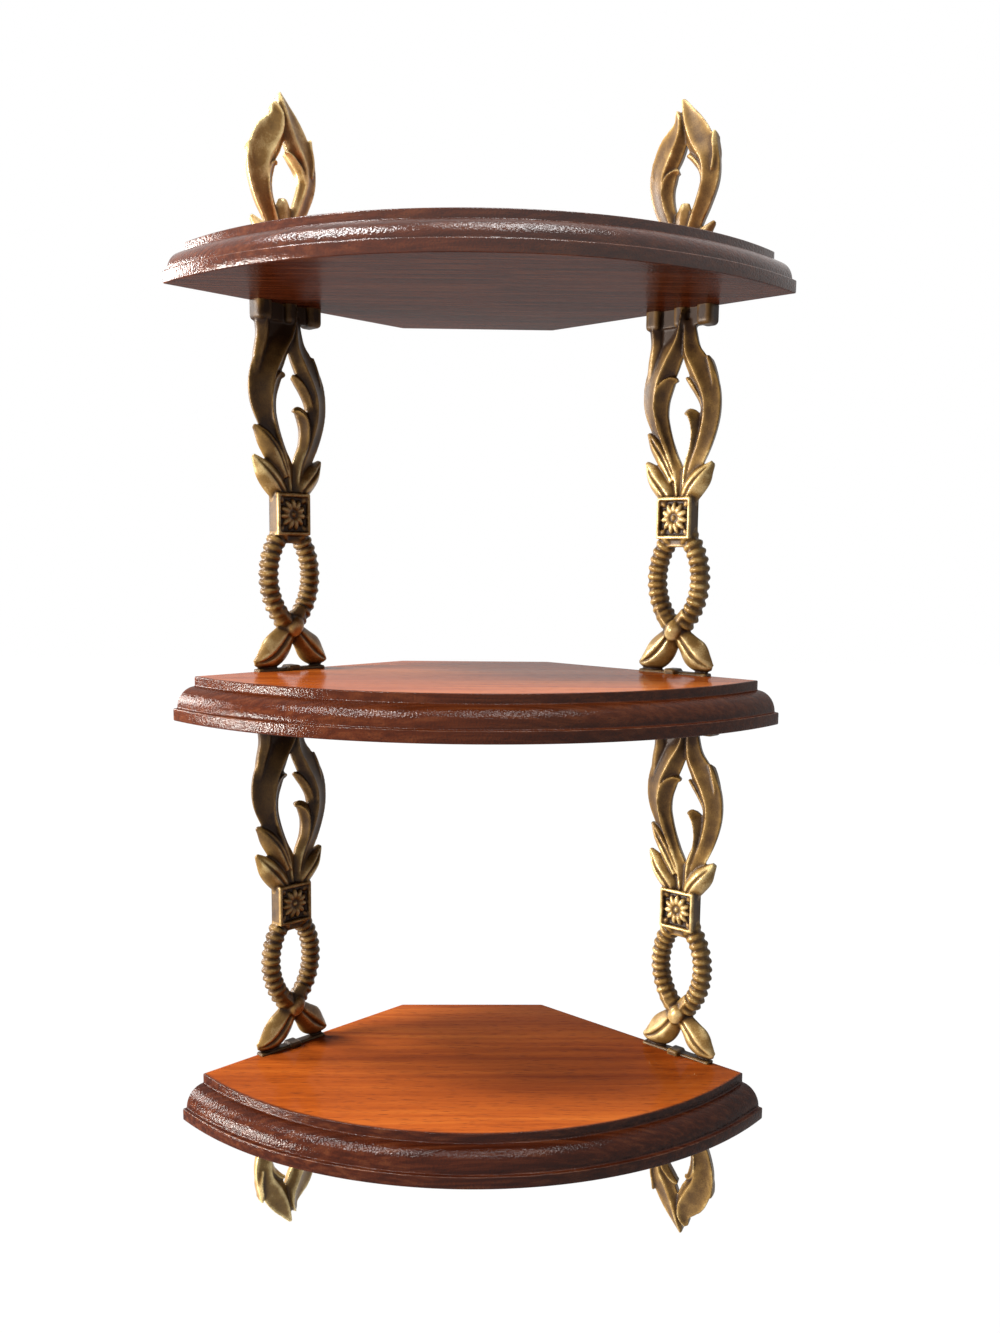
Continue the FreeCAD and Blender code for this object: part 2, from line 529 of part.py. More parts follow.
def make_upright():
    """The upright: foot bar, leaf feet, rope loop, rosette block, leaves, flame of two blades and flange."""
    spread = size("foot_spread")
    foot = size("foot_height")
    block_level = "(sizes.foot_height + sizes.loop_height)"
    flame_level = foot + size("loop_height") + size("block_size")
    half_width = size("flame_half_width")
    flame = size("flame_height")
    front = size("front_blade_depth")
    rear = size("rear_blade_depth")
    leaf = size("leaf_depth")
    block = bar("block", "sizes.block_size", "sizes.block_size", "sizes.block_depth", block_level)
    sunk = bar("panel", "(sizes.block_size - 2 * sizes.panel_border)",
               "(sizes.block_size - 2 * sizes.panel_border)", "sizes.panel_recess",
               block_level + " + sizes.panel_border")
    bind(sunk, Placement__Base__y="-sizes.block_depth")
    framed = doc.addObject("Part::Cut", "framed_block")
    framed.Base = block
    framed.Tool = sunk
    flange = bar("flange_bar", "sizes.flange_length", "sizes.flange_height", "sizes.flange_depth",
                 UPRIGHT_HEIGHT + " - sizes.flange_height")
    doc.recompute()
    bevelled = doc.addObject("Part::Chamfer", "flange")
    bevelled.Base = flange
    bevel = size("flange_bevel")
    low = flange.Shape.BoundBox.ZMin
    bevelled.Edges = [(number, bevel, bevel) for number, edge in enumerate(flange.Shape.Edges, start=1)
                      if edge.BoundBox.ZMax < low + SAME_PLACE and edge.BoundBox.YMin < -SAME_PLACE]
    pieces = [bar("base_bar", "sizes.base_length", "sizes.base_height", "sizes.base_depth", "0"),
              framed, bevelled, rosette(foot + size("loop_height") + size("block_size") / 2),
              rope_strand("left_strand", LEFT, 0), rope_strand("right_strand", RIGHT, 1),
              ridged_leaf("front_foot", FRONT_FOOT, spread, foot, size("foot_depth"), 0, 2),
              ridged_leaf("rear_foot", REAR_FOOT, spread, foot, size("rear_foot_depth"), 0, 3)]
    leaves = (("front_blade", FLAME_FRONT_BLADE, front), ("rear_blade", FLAME_REAR_BLADE, rear),
              ("strut", FLAME_STRUT, rear), ("front_barb", FLAME_FRONT_BARB, rear),
              ("upper_barb", FLAME_UPPER_BARB, leaf), ("lower_barb", FLAME_LOWER_BARB, leaf),
              ("low_left_leaf", FLAME_LOW_LEFT_LEAF, leaf), ("high_left_leaf", FLAME_HIGH_LEFT_LEAF, leaf),
              ("right_leaf", FLAME_RIGHT_LEAF, leaf))
    for order, (name, spine, ridge) in enumerate(leaves, start=4):
        pieces.append(ridged_leaf(name, spine, half_width, flame, ridge, flame_level, order))
    blank = doc.addObject("Part::MultiFuse", "upright_blank")
    blank.Shapes = pieces
    holes = (("0", "sizes.base_height"),
             (UPRIGHT_HEIGHT + " - (%s)" % STUD_HOLE_DEPTH, STUD_HOLE_DEPTH))
    return trim_and_drill("upright_casting", blank, flame_level + flame, holes)


def make_finial():
    """The finial: foot bar, two leaves, a bud and a flame of two blades with barbs and thorns."""
    half_width = size("finial_half_width")
    height = size("finial_height")
    front = size("front_blade_depth")
    rear = size("rear_blade_depth")
    leaf = size("leaf_depth")
    leaves = (("finial_left_blade", FINIAL_LEFT_BLADE, front),
              ("finial_right_blade", FINIAL_RIGHT_BLADE, rear),
              ("finial_left_barb", FINIAL_LEFT_BARB, leaf), ("finial_right_barb", FINIAL_RIGHT_BARB, rear),
              ("finial_left_thorn", FINIAL_LEFT_THORN, front * RIM_SHARE),
              ("finial_right_thorn", FINIAL_RIGHT_THORN, rear * RIM_SHARE),
              ("finial_left_leaf", FINIAL_LEFT_LEAF, leaf), ("finial_right_leaf", FINIAL_RIGHT_LEAF, leaf),
              ("finial_bud", FINIAL_BUD, rear))
    pieces = [bar("finial_base", "sizes.finial_base_length", "sizes.finial_base_height",
                  "sizes.base_depth", "0")]
    for order, (name, spine, ridge) in enumerate(leaves):
        pieces.append(ridged_leaf(name, spine, half_width, height, ridge, 0, order))
    blank = doc.addObject("Part::MultiFuse", "finial_blank")
    blank.Shapes = pieces
    return trim_and_drill("finial_casting", blank, height, (("0", STUD_HOLE_DEPTH),))


def place_casting(piece, casting, side_name, level, hanging=False):
    """One copy of a casting with its flat back on a wall."""
    name = "%s_%s" % (side_name, piece)
    across, along = wall_place(side_name, piece, "0")
    turn = wall_turn(side_name)
    if hanging:
        turn = turn.multiply(FreeCAD.Rotation(Vector(0, 1, 0), 180))
    node = doc.addObject("App::Link", name)
    node.LinkedObject = casting
    node.Label = name
    node.Placement = FreeCAD.Placement(Vector(0, 0, 0), turn)
    bind(node, Placement__Base__x=across, Placement__Base__y="%s + %s" % (along, Y_SHIFT),
         Placement__Base__z=level)
    return node


def make_castings():
    """Eight castings: an upright in each tier and a finial above and below, on both walls."""
    upright = make_upright()
    finial = make_finial()
    thickness = "sizes.shelf_thickness"
    nodes = []
    for side_name in SIDES:
        places = (("top_finial", finial, SHELF_UNDERSIDES["top"] + " + " + thickness, False),
                  ("upper_upright", upright, SHELF_UNDERSIDES["middle"] + " + " + thickness, False),
                  ("lower_upright", upright, SHELF_UNDERSIDES["bottom"] + " + " + thickness, False),
                  ("drop_finial", finial, SHELF_UNDERSIDES["bottom"], True))
        for piece, casting, level, hanging in places:
            nodes.append(place_casting(piece, casting, side_name, level, hanging))
    return nodes


def make_studs():
    """The threaded studs: one in each finial, and one in the foot and one in the flange of each upright."""
    nodes = []
    for side_name in SIDES:
        for level, underside in SHELF_UNDERSIDES.items():
            above = CASTING_ABOVE[level]
            foot_reach = "sizes.stud_reach"
            if above.endswith("upright"):
                foot_reach = "sizes.base_height - sizes.stud_tip_gap"
            top_face = "%s + sizes.shelf_thickness" % underside
            ends = ((above, "%s - sizes.stud_board_reach" % top_face, foot_reach, "foot"),
                    (CASTING_BELOW[level], "%s - sizes.stud_reach" % underside, "sizes.stud_reach", "head"))
            for piece, low_end, casting_reach, end_name in ends:
                name = "%s_%s" % (side_name, piece)
                name += "_stud" if piece.endswith("finial") else "_%s_stud" % end_name
                across, along = wall_place(side_name, piece, "sizes.stud_inset")
                stud = doc.addObject("Part::Cylinder", name)
                stud.Label = name
                bind(stud, Radius="sizes.stud_diameter / 2",
                     Height="sizes.stud_board_reach + %s" % casting_reach,
                     Placement__Base__x=across, Placement__Base__y="%s + %s" % (along, Y_SHIFT),
                     Placement__Base__z=low_end)
                nodes.append(stud)
    return nodes


def write_parts(nodes):
    """Check every object, then write each node's shape to its own file."""
    doc.recompute()
    failed = [item.Name for item in doc.Objects if "Invalid" in item.State or "Error" in item.State]
    if failed:
        raise RuntimeError("objects failed: " + ", ".join(failed))
    for node in nodes:
        if node.Shape.isNull() or not node.Shape.isValid() or len(node.Shape.Solids) != 1:
            raise RuntimeError("no valid single solid in " + node.Label)
    os.makedirs("parts", exist_ok=True)
    for node in nodes:
        node.Shape.exportStep("parts/%s.step" % node.Label)
        print("%s: %.0f mm3" % (node.Label, node.Shape.Volume))


write_parts(make_shelves() + make_castings() + make_studs())
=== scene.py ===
"""Corner wall shelf: three varnished boards on gilt cast uprights, with flame finials above and below."""
import logging
import math
from dataclasses import dataclass
from enum import Enum
from typing import ClassVar

import bmesh
import bpy
import numpy as np
from bpy.types import Material, Mesh, Node, NodeSocket, Object
from mathutils import Matrix, Vector


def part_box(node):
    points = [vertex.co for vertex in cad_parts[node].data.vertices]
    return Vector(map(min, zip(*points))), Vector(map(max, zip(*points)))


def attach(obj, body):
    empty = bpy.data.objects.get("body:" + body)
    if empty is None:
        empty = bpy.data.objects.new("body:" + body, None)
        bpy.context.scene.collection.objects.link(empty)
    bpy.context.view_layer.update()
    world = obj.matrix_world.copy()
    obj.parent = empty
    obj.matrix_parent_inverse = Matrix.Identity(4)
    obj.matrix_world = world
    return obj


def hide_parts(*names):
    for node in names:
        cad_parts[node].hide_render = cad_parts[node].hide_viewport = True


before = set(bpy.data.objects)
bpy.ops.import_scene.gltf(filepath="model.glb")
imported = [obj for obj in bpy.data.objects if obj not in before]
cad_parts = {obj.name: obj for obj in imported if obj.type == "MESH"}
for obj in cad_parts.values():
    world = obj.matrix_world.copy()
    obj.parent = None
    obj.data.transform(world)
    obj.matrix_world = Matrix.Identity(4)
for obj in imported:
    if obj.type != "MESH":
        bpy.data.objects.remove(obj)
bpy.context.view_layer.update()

LOG = logging.getLogger("corner_wall_shelf")
MM = 0.001
BODY = "root"
# Distance at which points of a closed solid count as doubles
MERGE_DISTANCE = 1e-7
# How far a casting's ornament runs past its flat faces before they are trimmed, in millimetres
PAST_WALL = 1.5
# Values between which most of a noise texture lies
NOISE_LIMITS = (0.3, 0.7)
Pair = tuple[float, float]
Triple = tuple[float, float, float]
Colour = Triple
SpinePoint = tuple[float, float, float, float]
Input = float | tuple[float, ...] | NodeSocket


class Side(Enum):
    """The two walls, with the sign of X on each."""

    LEFT = -1
    RIGHT = 1

    @property
    def word(self) -> str:
        """The side's word in piece names."""
        return self.name.lower()


class Slot(Enum):
    """Material slots of the record."""

    WOOD = "board_wood"
    GILT = "gilt_casting"
    STEEL = "stud_steel"


# Frame and mesh helpers
def stud_names() -> list[str]:
    """Nodes of the frame that are studs."""
    return [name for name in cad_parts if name.endswith("_stud")]


def new_object(name: str, mesh: Mesh) -> Object:
    """Put a mesh into the scene as an object at the origin.

    Args:
        name: Name of the object and of its mesh.
        mesh: The mesh.

    Returns:
        The linked object.
    """
    mesh.name = name
    item = bpy.data.objects.new(name, mesh)
    bpy.context.scene.collection.objects.link(item)
    return item


def discard(item: Object) -> None:
    """Remove a scratch object together with its mesh.

    Args:
        item: The object.
    """
    mesh = item.data
    bpy.data.objects.remove(item)
    bpy.data.meshes.remove(mesh)


def plain_mesh(item: Object) -> Mesh:
    """Bake an object's modifiers into a new mesh and remove the object.

    Args:
        item: Object whose modifiers are to be applied.

    Returns:
        The evaluated mesh.
    """
    bpy.context.view_layer.update()
    evaluated = item.evaluated_get(bpy.context.evaluated_depsgraph_get())
    mesh = bpy.data.meshes.new_from_object(evaluated)
    discard(item)
    return mesh


def loft(name: str, rings: np.ndarray) -> Object:
    """Close a solid through rings of equal length.

    Args:
        name: Name of the object.
        rings: Points, as an array of rings by points by three.

    Returns:
        The solid.
    """
    count, size = rings.shape[:2]
    faces = [tuple(range(size)), tuple(range(count * size - 1, (count - 1) * size - 1, -1))]
    for ring in range(count - 1):
        for place in range(size):
            following = (place + 1) % size
            near = ring * size
            far = near + size
            faces.append((near + following, near + place, far + place, far + following))
    mesh = bpy.data.meshes.new(name)
    mesh.from_pydata(rings.reshape(-1, 3).tolist(), [], faces)
    turn_outwards(mesh)
    return new_object(name, mesh)


def turn_outwards(mesh: Mesh) -> None:
    """Merge doubles of a closed mesh and point its faces outwards.

    Args:
        mesh: The mesh, changed in place.
    """
    work = bmesh.new()
    work.from_mesh(mesh)
    bmesh.ops.remove_doubles(work, verts=work.verts, dist=MERGE_DISTANCE)
    bmesh.ops.recalc_face_normals(work, faces=work.faces)
    work.to_mesh(mesh)
    work.free()


def arc(centre: Pair, radius: float, first: float, last: float, count: int) -> list[Pair]:
    """Points along an arc.

    Args:
        centre: Centre of the arc.
        radius: Radius of the arc.
        first: Angle of the first point.
        last: Angle of the last point.
        count: Number of points.

    Returns:
        The points in order.
    """
    return [(centre[0] + radius * math.cos(turn), centre[1] + radius * math.sin(turn))
            for turn in np.linspace(first, last, count)]


def block(name: str, low: Triple, high: Triple, rounding: float = 0.0) -> Object:
    """A box between two corners, with its edges rounded if asked.

    Args:
        name: Name of the object.
        low: Lowest corner.
        high: Highest corner.
        rounding: Radius of the edges, or none.

    Returns:
        The box.
    """
    work = bmesh.new()
    bmesh.ops.create_cube(work, size=1.0)
    for vert in work.verts:
        vert.co = Vector(low[axis] + (high[axis] - low[axis]) * (vert.co[axis] + 0.5) for axis in range(3))
    if rounding:
        bmesh.ops.bevel(work, geom=work.edges[:], offset=rounding, segments=4, profile=0.5, affect="EDGES")
    mesh = bpy.data.meshes.new(name)
    work.to_mesh(mesh)
    work.free()
    return new_object(name, mesh)


def joined(name: str, pieces: list[Object]) -> Object:
    """Put several objects' meshes into one and discard them.

    Args:
        name: Name of the new object.
        pieces: Objects at the origin.

    Returns:
        The joined object.
    """
    work = bmesh.new()
    for piece in pieces:
        work.from_mesh(piece.data)
        discard(piece)
    mesh = bpy.data.meshes.new(name)
    work.to_mesh(mesh)
    work.free()
    return new_object(name, mesh)


def vectors(mesh: Mesh, kind: str) -> np.ndarray:
    """Places or normals of a mesh's points.

    Args:
        mesh: The mesh.
        kind: Blender's name for them: co or normal.

    Returns:
        Rows of three numbers.
    """
    flat = np.empty(len(mesh.vertices) * 3)
    mesh.vertices.foreach_get(kind, flat)
    return flat.reshape(-1, 3)


def relaxed(mesh: Mesh, points: np.ndarray, factor: float, rounds: int) -> np.ndarray:
    """Move points towards the mean of their neighbours.

    Args:
        mesh: Mesh that gives the neighbours.
        points: Points to start from.
        factor: Share of the way moved in each round.
        rounds: Number of rounds.

    Returns:
        The moved points.
    """
    pairs = np.empty(len(mesh.edges) * 2, dtype=np.int64)
    mesh.edges.foreach_get("vertices", pairs)
    first, second = pairs[::2], pairs[1::2]
    count = len(points)
    degree = np.maximum(np.bincount(pairs, minlength=count), 1)
    for _ in range(rounds):
        mean = np.empty_like(points)
        for axis in range(3):
            values = points[:, axis]
            total = np.bincount(first, values[second], count) + np.bincount(second, values[first], count)
            mean[:, axis] = total / degree
        points = points + factor * (mean - points)
    return points


def set_values(mesh: Mesh, name: str, values: np.ndarray) -> None:
    """Store one number for each point as an attribute."""
    mesh.attributes.new(name, "FLOAT", "POINT").data.foreach_set("value", values.astype(np.float32))


def smooth_step(values: np.ndarray, low: float, high: float) -> np.ndarray:
    """Ease values from 0 at low to 1 at high."""
    share = np.clip((values - low) / (high - low), 0.0, 1.0)
    return share * share * (3.0 - 2.0 * share)


def add_piece(item: Object, node: str, material: Material) -> None:
    """Dress a finished piece and let it stand for its node.

    Args:
        item: The piece, at the origin.
        node: Node of the frame that it replaces.
        material: Finish of the piece.
    """
    item.data.materials.clear()
    item.data.materials.append(material)
    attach(item, BODY)
    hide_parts(node)
    LOG.info("%s: %d faces", item.name, len(item.data.polygons))


# Node trees
class NodeTree:
    """Nodes added and linked by short calls.

    Attributes:
        tree: Blender's tree that holds them.
    """

    def __init__(self, tree: bpy.types.NodeTree) -> None:
        """Take the tree to add to."""
        self.tree = tree

    def add(self, kind: str, inputs: dict[str | int, Input] | None = None, **settings: str | bool) -> Node:
        """Add a node.

        Args:
            kind: Node type.
            inputs: Socket name or number to a value, or to the socket to link from.
            **settings: Properties of the node.

        Returns:
            The node.
        """
        node = self.tree.nodes.new(kind)
        for key, value in settings.items():
            setattr(node, key, value)
        for key, value in (inputs or {}).items():
            if isinstance(value, NodeSocket):
                self.tree.links.new(value, node.inputs[key])
            else:
                node.inputs[key].default_value = value
        return node

    def math(self, operation: str, first: Input, second: Input = 0.0, clamp: bool = False) -> NodeSocket:
        """Add a Math node.

        Args:
            operation: Blender's name of the operation.
            first: First value or socket.
            second: Second value or socket.
            clamp: Whether the result is kept between 0 and 1.

        Returns:
            The result.
        """
        inputs = {0: first, 1: second}
        return self.add("ShaderNodeMath", inputs, operation=operation, use_clamp=clamp).outputs[0]

    def vector_math(self, operation: str, first: Input, second: Input) -> NodeSocket:
        """Add a Vector Math node and give its result."""
        return self.add("ShaderNodeVectorMath", {0: first, 1: second}, operation=operation).outputs[0]

    def spread(self, source: NodeSocket, limits: Pair, results: Pair = (0.0, 1.0)) -> NodeSocket:
        """Map the values between two limits to those between two results, clamped.

        Args:
            source: The values.
            limits: Values that give the first and the second result.
            results: The two results.

        Returns:
            The mapped values.
        """
        inputs = {0: source, 1: limits[0], 2: limits[1], 3: results[0], 4: results[1]}
        return self.add("ShaderNodeMapRange", inputs).outputs[0]


class ShaderTree(NodeTree):
    """A material's nodes.

    Attributes:
        material: The material.
        MIX_COLOURS, MIX_RESULT: Numbers of a Mix node's colour inputs and of its colour output.
    """

    MIX_COLOURS = (6, 7)
    MIX_RESULT = 2

    def __init__(self, name: str) -> None:
        """Start an empty material.

        Args:
            name: Name of the material.
        """
        self.material = bpy.data.materials.new(name)
        self.material.use_nodes = True
        super().__init__(self.material.node_tree)
        self.tree.nodes.clear()

    def noise(self, source: NodeSocket, scale: float, detail: float) -> Node:
        """Add a noise texture on the given coordinates."""
        return self.add("ShaderNodeTexNoise", {"Vector": source, "Scale": scale, "Detail": detail})

    def stretched_noise(self, source: NodeSocket, scales: Triple, detail: float) -> NodeSocket:
        """Noise values with their own scale along each axis."""
        place = self.add("ShaderNodeMapping", {"Vector": source, "Scale": scales}).outputs[0]
        return self.noise(place, 1.0, detail).outputs[0]

    def ramp(self, source: NodeSocket, stops: list[tuple[float, Colour]]) -> NodeSocket:
        """Colour values along a ramp.

        Args:
            source: Values from 0 to 1.
            stops: Places and colours of the ramp.

        Returns:
            The colour socket.
        """
        node = self.add("ShaderNodeValToRGB", {0: source})
        elements = node.color_ramp.elements
        while len(elements) < len(stops):
            elements.new(1.0)
        for element, (place, colour) in zip(elements, stops):
            element.position = place
            element.color = (*colour, 1.0)
        return node.outputs[0]

    def mixed(self, factor: NodeSocket, first: NodeSocket, second: Colour | NodeSocket) -> NodeSocket:
        """Mix two colours.

        Args:
            factor: Share of the second colour.
            first: Socket of the first colour.
            second: The second colour, or its socket.

        Returns:
            The mixed colour.
        """
        if not isinstance(second, NodeSocket):
            second = (*second, 1.0)
        low, high = self.MIX_COLOURS
        node = self.add("ShaderNodeMix", {0: factor, low: first, high: second}, data_type="RGBA")
        return node.outputs[self.MIX_RESULT]

    def bump(self, height: NodeSocket, strength: float, distance: float) -> NodeSocket:
        """Add a Bump node and give its normal."""
        inputs = {"Height": height, "Strength": strength, "Distance": distance}
        return self.add("ShaderNodeBump", inputs).outputs[0]

    def attribute(self, name: str) -> NodeSocket:
        """Read one of the mesh's own values."""
        return self.add("ShaderNodeAttribute", attribute_name=name).outputs["Fac"]

    def object_place(self) -> NodeSocket:
        """Read the place on the object."""
        return self.add("ShaderNodeTexCoord").outputs["Object"]

    def finish(self, shader: Node) -> Material:
        """Link the shader to the output and give the material."""
        self.add("ShaderNodeOutputMaterial", {"Surface": shader.outputs[0]})
        return self.material


# Finishes
@dataclass(frozen=True)
class VarnishedWood:
    """Red-brown hardwood with open pores and grain along X under varnish, with painted shade on its
    underside, a moulding darkened by real staining and painted shade, and painted glints on its edges.

    Attributes:
        dark, middle, light: Colours of the grain.
        pore: Colour of the pores.
        stain_dark, stain_middle, stain_light: Colours of the moulding's real staining together with painted
            shade, also used for the painted shade on the underside.
        rub_and_glint: Pale colour of the top and band edges, for rubbed wood together with painted glints of
            light on the arrises.
        drift_scale: Noise scale of the grain's drift.
        drift: How far the grain drifts along each axis, in metres.
        broad_scales, figure_scales, pore_scales, streak_scales, gloss_scales: Noise scales of the broad
            stripes, figure, pores, stain's streaks and uneven gloss along each axis.
        peel_scale: Noise scale of the ripple in the moulding's varnish.
        broad_share, figure_share: Shares of broad stripes and figure in the grain's tone.
        tone_limits: Tones of the darkest and the lightest grain.
        pore_limits: Noise values at a pore's edge and in its middle.
        pore_shade: Share of the pores' own colour in a pore.
        streak_limits: Noise values of the darkest and the lightest streak.
        rub_and_glint_limits: Values of arris at which that pale colour starts and is full.
        rub_and_glint_streaks: Noise values of the faintest and the strongest streak of it.
        rub_and_glint_shares: Share of the pale colour in those two.
        roughness: Roughness of the glossiest and of the dullest wood.
        pore_roughness: How much rougher the pores are.
        figure_relief, peel_relief: Relief of figure and ripple as shares of a pore's depth.
        bump_strength: Strength of the relief.
        bump_depth: Depth of a pore in metres.
        varnish_roughness: Roughness of the varnish.
    """

    dark: Colour = (0.260, 0.045, 0.007)
    middle: Colour = (0.420, 0.088, 0.012)
    light: Colour = (0.560, 0.145, 0.020)
    pore: Colour = (0.100, 0.020, 0.006)
    # The three colours below paint the moulding darker, as real staining together with painted shade, and
    # paint shade on the underside.
    stain_dark: Colour = (0.032, 0.006, 0.002)
    stain_middle: Colour = (0.052, 0.010, 0.003)
    stain_light: Colour = (0.082, 0.021, 0.007)
    # Painted glint: pale colour of rubbed wood and of light glinting on the edges.
    rub_and_glint: Colour = (0.420, 0.210, 0.120)
    drift_scale: float = 7.0
    drift: Triple = (0.0, 0.012, 0.012)
    broad_scales: Triple = (2.0, 24.0, 24.0)
    figure_scales: Triple = (7.0, 190.0, 190.0)
    pore_scales: Triple = (120.0, 1900.0, 1900.0)
    streak_scales: Triple = (10.0, 420.0, 420.0)
    gloss_scales: Triple = (30.0, 60.0, 60.0)
    peel_scale: float = 900.0
    broad_share: float = 0.55
    figure_share: float = 0.45
    tone_limits: Pair = (0.34, 0.66)
    pore_limits: Pair = (0.60, 0.72)
    pore_shade: float = 0.75
    streak_limits: Pair = (0.34, 0.68)
    rub_and_glint_limits: Pair = (0.75, 1.0)
    rub_and_glint_streaks: Pair = (0.40, 0.65)
    rub_and_glint_shares: Pair = (0.10, 0.60)
    roughness: Pair = (0.22, 0.34)
    pore_roughness: float = 0.2
    figure_relief: float = 0.25
    peel_relief: float = 6.0
    bump_strength: float = 0.18
    bump_depth: float = 0.0004
    varnish_roughness: float = 0.12

    def material(self) -> Material:
        """Build the finish.

        Returns:
            The boards' material.
        """
        tree = ShaderTree(Slot.WOOD.value)
        place = tree.object_place()
        stain = tree.attribute("stain")
        drift = tree.noise(place, self.drift_scale, detail=2.0).outputs["Color"]
        grain = tree.vector_math("ADD", place, tree.vector_math("MULTIPLY", drift, self.drift))
        broad = tree.stretched_noise(grain, self.broad_scales, detail=3.0)
        figure = tree.stretched_noise(grain, self.figure_scales, detail=5.0)
        pores = tree.spread(tree.stretched_noise(grain, self.pore_scales, detail=1.0), self.pore_limits)
        streaks = tree.stretched_noise(grain, self.streak_scales, detail=4.0)
        pore_shade = tree.math("MULTIPLY", pores, self.pore_shade)
        tone = tree.math("ADD", tree.math("MULTIPLY", broad, self.broad_share),
                         tree.math("MULTIPLY", figure, self.figure_share))
        colour = tree.ramp(tree.spread(tone, self.tone_limits),
                           [(0.0, self.dark), (0.5, self.middle), (1.0, self.light)])
        colour = tree.mixed(pore_shade, colour, self.pore)
        # Painted shade: these darker colours stand for the moulding's real staining together with shade, and
        # for shade on the underside.
        stained_and_shaded = tree.ramp(tree.spread(streaks, self.streak_limits),
                            [(0.1, self.stain_dark), (0.5, self.stain_middle), (0.95, self.stain_light)])
        stained_and_shaded = tree.mixed(pore_shade, stained_and_shaded, self.stain_dark)
        colour = tree.mixed(stain, colour, stained_and_shaded)
        # Painted glint: a pale colour on the top and band edges, for rubbed wood together with glints of
        # light on the arrises.
        edge = tree.spread(tree.attribute("arris"), self.rub_and_glint_limits)
        rub_and_glint_share = tree.spread(streaks, self.rub_and_glint_streaks, self.rub_and_glint_shares)
        colour = tree.mixed(tree.math("MULTIPLY", edge, rub_and_glint_share), colour, self.rub_and_glint)
        gloss = tree.stretched_noise(place, self.gloss_scales, detail=3.0)
        roughness = tree.math("ADD", tree.spread(gloss, NOISE_LIMITS, self.roughness),
                              tree.math("MULTIPLY", pores, self.pore_roughness))
        height = tree.math("SUBTRACT", tree.math("MULTIPLY", figure, self.figure_relief), pores)
        peel = tree.math("MULTIPLY", tree.noise(place, self.peel_scale, detail=2.0).outputs[0], stain)
        height = tree.math("ADD", height, tree.math("MULTIPLY", peel, self.peel_relief))
        relief = tree.bump(height, self.bump_strength, self.bump_depth)
        shader = tree.add("ShaderNodeBsdfPrincipled", {
            "Base Color": colour, "Roughness": roughness, "Normal": relief, "Coat Normal": relief,
            "Coat Weight": tree.attribute("polish"), "Coat Roughness": self.varnish_roughness,
            "Specular IOR Level": 0.0})
        return tree.finish(shader)


@dataclass(frozen=True)
class AntiqueGilt:
    """Cast metal with rubbed gilding on its ridges and brown patina in its hollows, to which painted
    highlights and painted shade are added.

    Attributes:
        hollow, bronze: Colours of whole and of thin patina, also used for painted shade.
        gold, bright: Colours of dull and of rubbed gilding; bright is also used for painted highlights.
        cloud_scale, grain_scale: Noise scales of the patina's clouds and of the casting's grain.
        cloud_wear, grain_wear: Least and most wear that clouds and grain add.
        roughness: Roughness of patina and of rubbed gilding.
        rough_limits: Values of wear_and_shading that give those two.
        cloud_roughness: Least and most roughness that the clouds add.
        metal: Metal share of patina and of rubbed gilding.
        metal_limits: Values of wear_and_shading that give those two.
        gloss: Level of the plain reflection.
        bump_strength, bump_depth: Strength of the grain's relief, and its depth in metres.
    """

    hollow: Colour = (0.022, 0.009, 0.003)
    bronze: Colour = (0.095, 0.050, 0.015)
    gold: Colour = (0.270, 0.158, 0.046)
    bright: Colour = (0.860, 0.675, 0.325)
    cloud_scale: float = 130.0
    grain_scale: float = 1500.0
    cloud_wear_and_shading: Pair = (-0.10, 0.10)
    grain_wear_and_shading: Pair = (-0.05, 0.05)
    roughness: Pair = (0.50, 0.24)
    rough_limits: Pair = (0.1, 0.8)
    cloud_roughness: Pair = (-0.04, 0.06)
    metal: Pair = (0.02, 0.18)
    metal_limits: Pair = (0.1, 0.9)
    gloss: float = 0.2
    bump_strength: float = 0.12
    bump_depth: float = 0.0002

    def material(self) -> Material:
        """Build the finish.

        Returns:
            The castings' material.
        """
        tree = ShaderTree(Slot.GILT.value)
        place = tree.object_place()
        cloud = tree.noise(place, self.cloud_scale, detail=4.0).outputs[0]
        grain = tree.noise(place, self.grain_scale, detail=3.0).outputs[0]
        uneven = tree.math("ADD", tree.spread(cloud, NOISE_LIMITS, self.cloud_wear_and_shading),
                           tree.spread(grain, NOISE_LIMITS, self.grain_wear_and_shading))
        wear_and_shading = tree.math("ADD", tree.attribute("wear_and_shading"), uneven, clamp=True)
        # Painted light and shade: wear_and_shading holds rubbed gilding and patina together with painted
        # highlights and painted shade, and this ramp makes it colour.
        colour = tree.ramp(wear_and_shading, [(0.10, self.hollow), (0.34, self.bronze),
                                  (0.60, self.gold), (0.86, self.bright)])
        roughness = tree.math("ADD", tree.spread(wear_and_shading, self.rough_limits, self.roughness),
                              tree.spread(cloud, NOISE_LIMITS, self.cloud_roughness))
        shader = tree.add("ShaderNodeBsdfPrincipled", {
            "Base Color": colour, "Roughness": roughness, "Specular IOR Level": self.gloss,
            "Metallic": tree.spread(wear_and_shading, self.metal_limits, self.metal),
            "Normal": tree.bump(grain, self.bump_strength, self.bump_depth)})
        return tree.finish(shader)


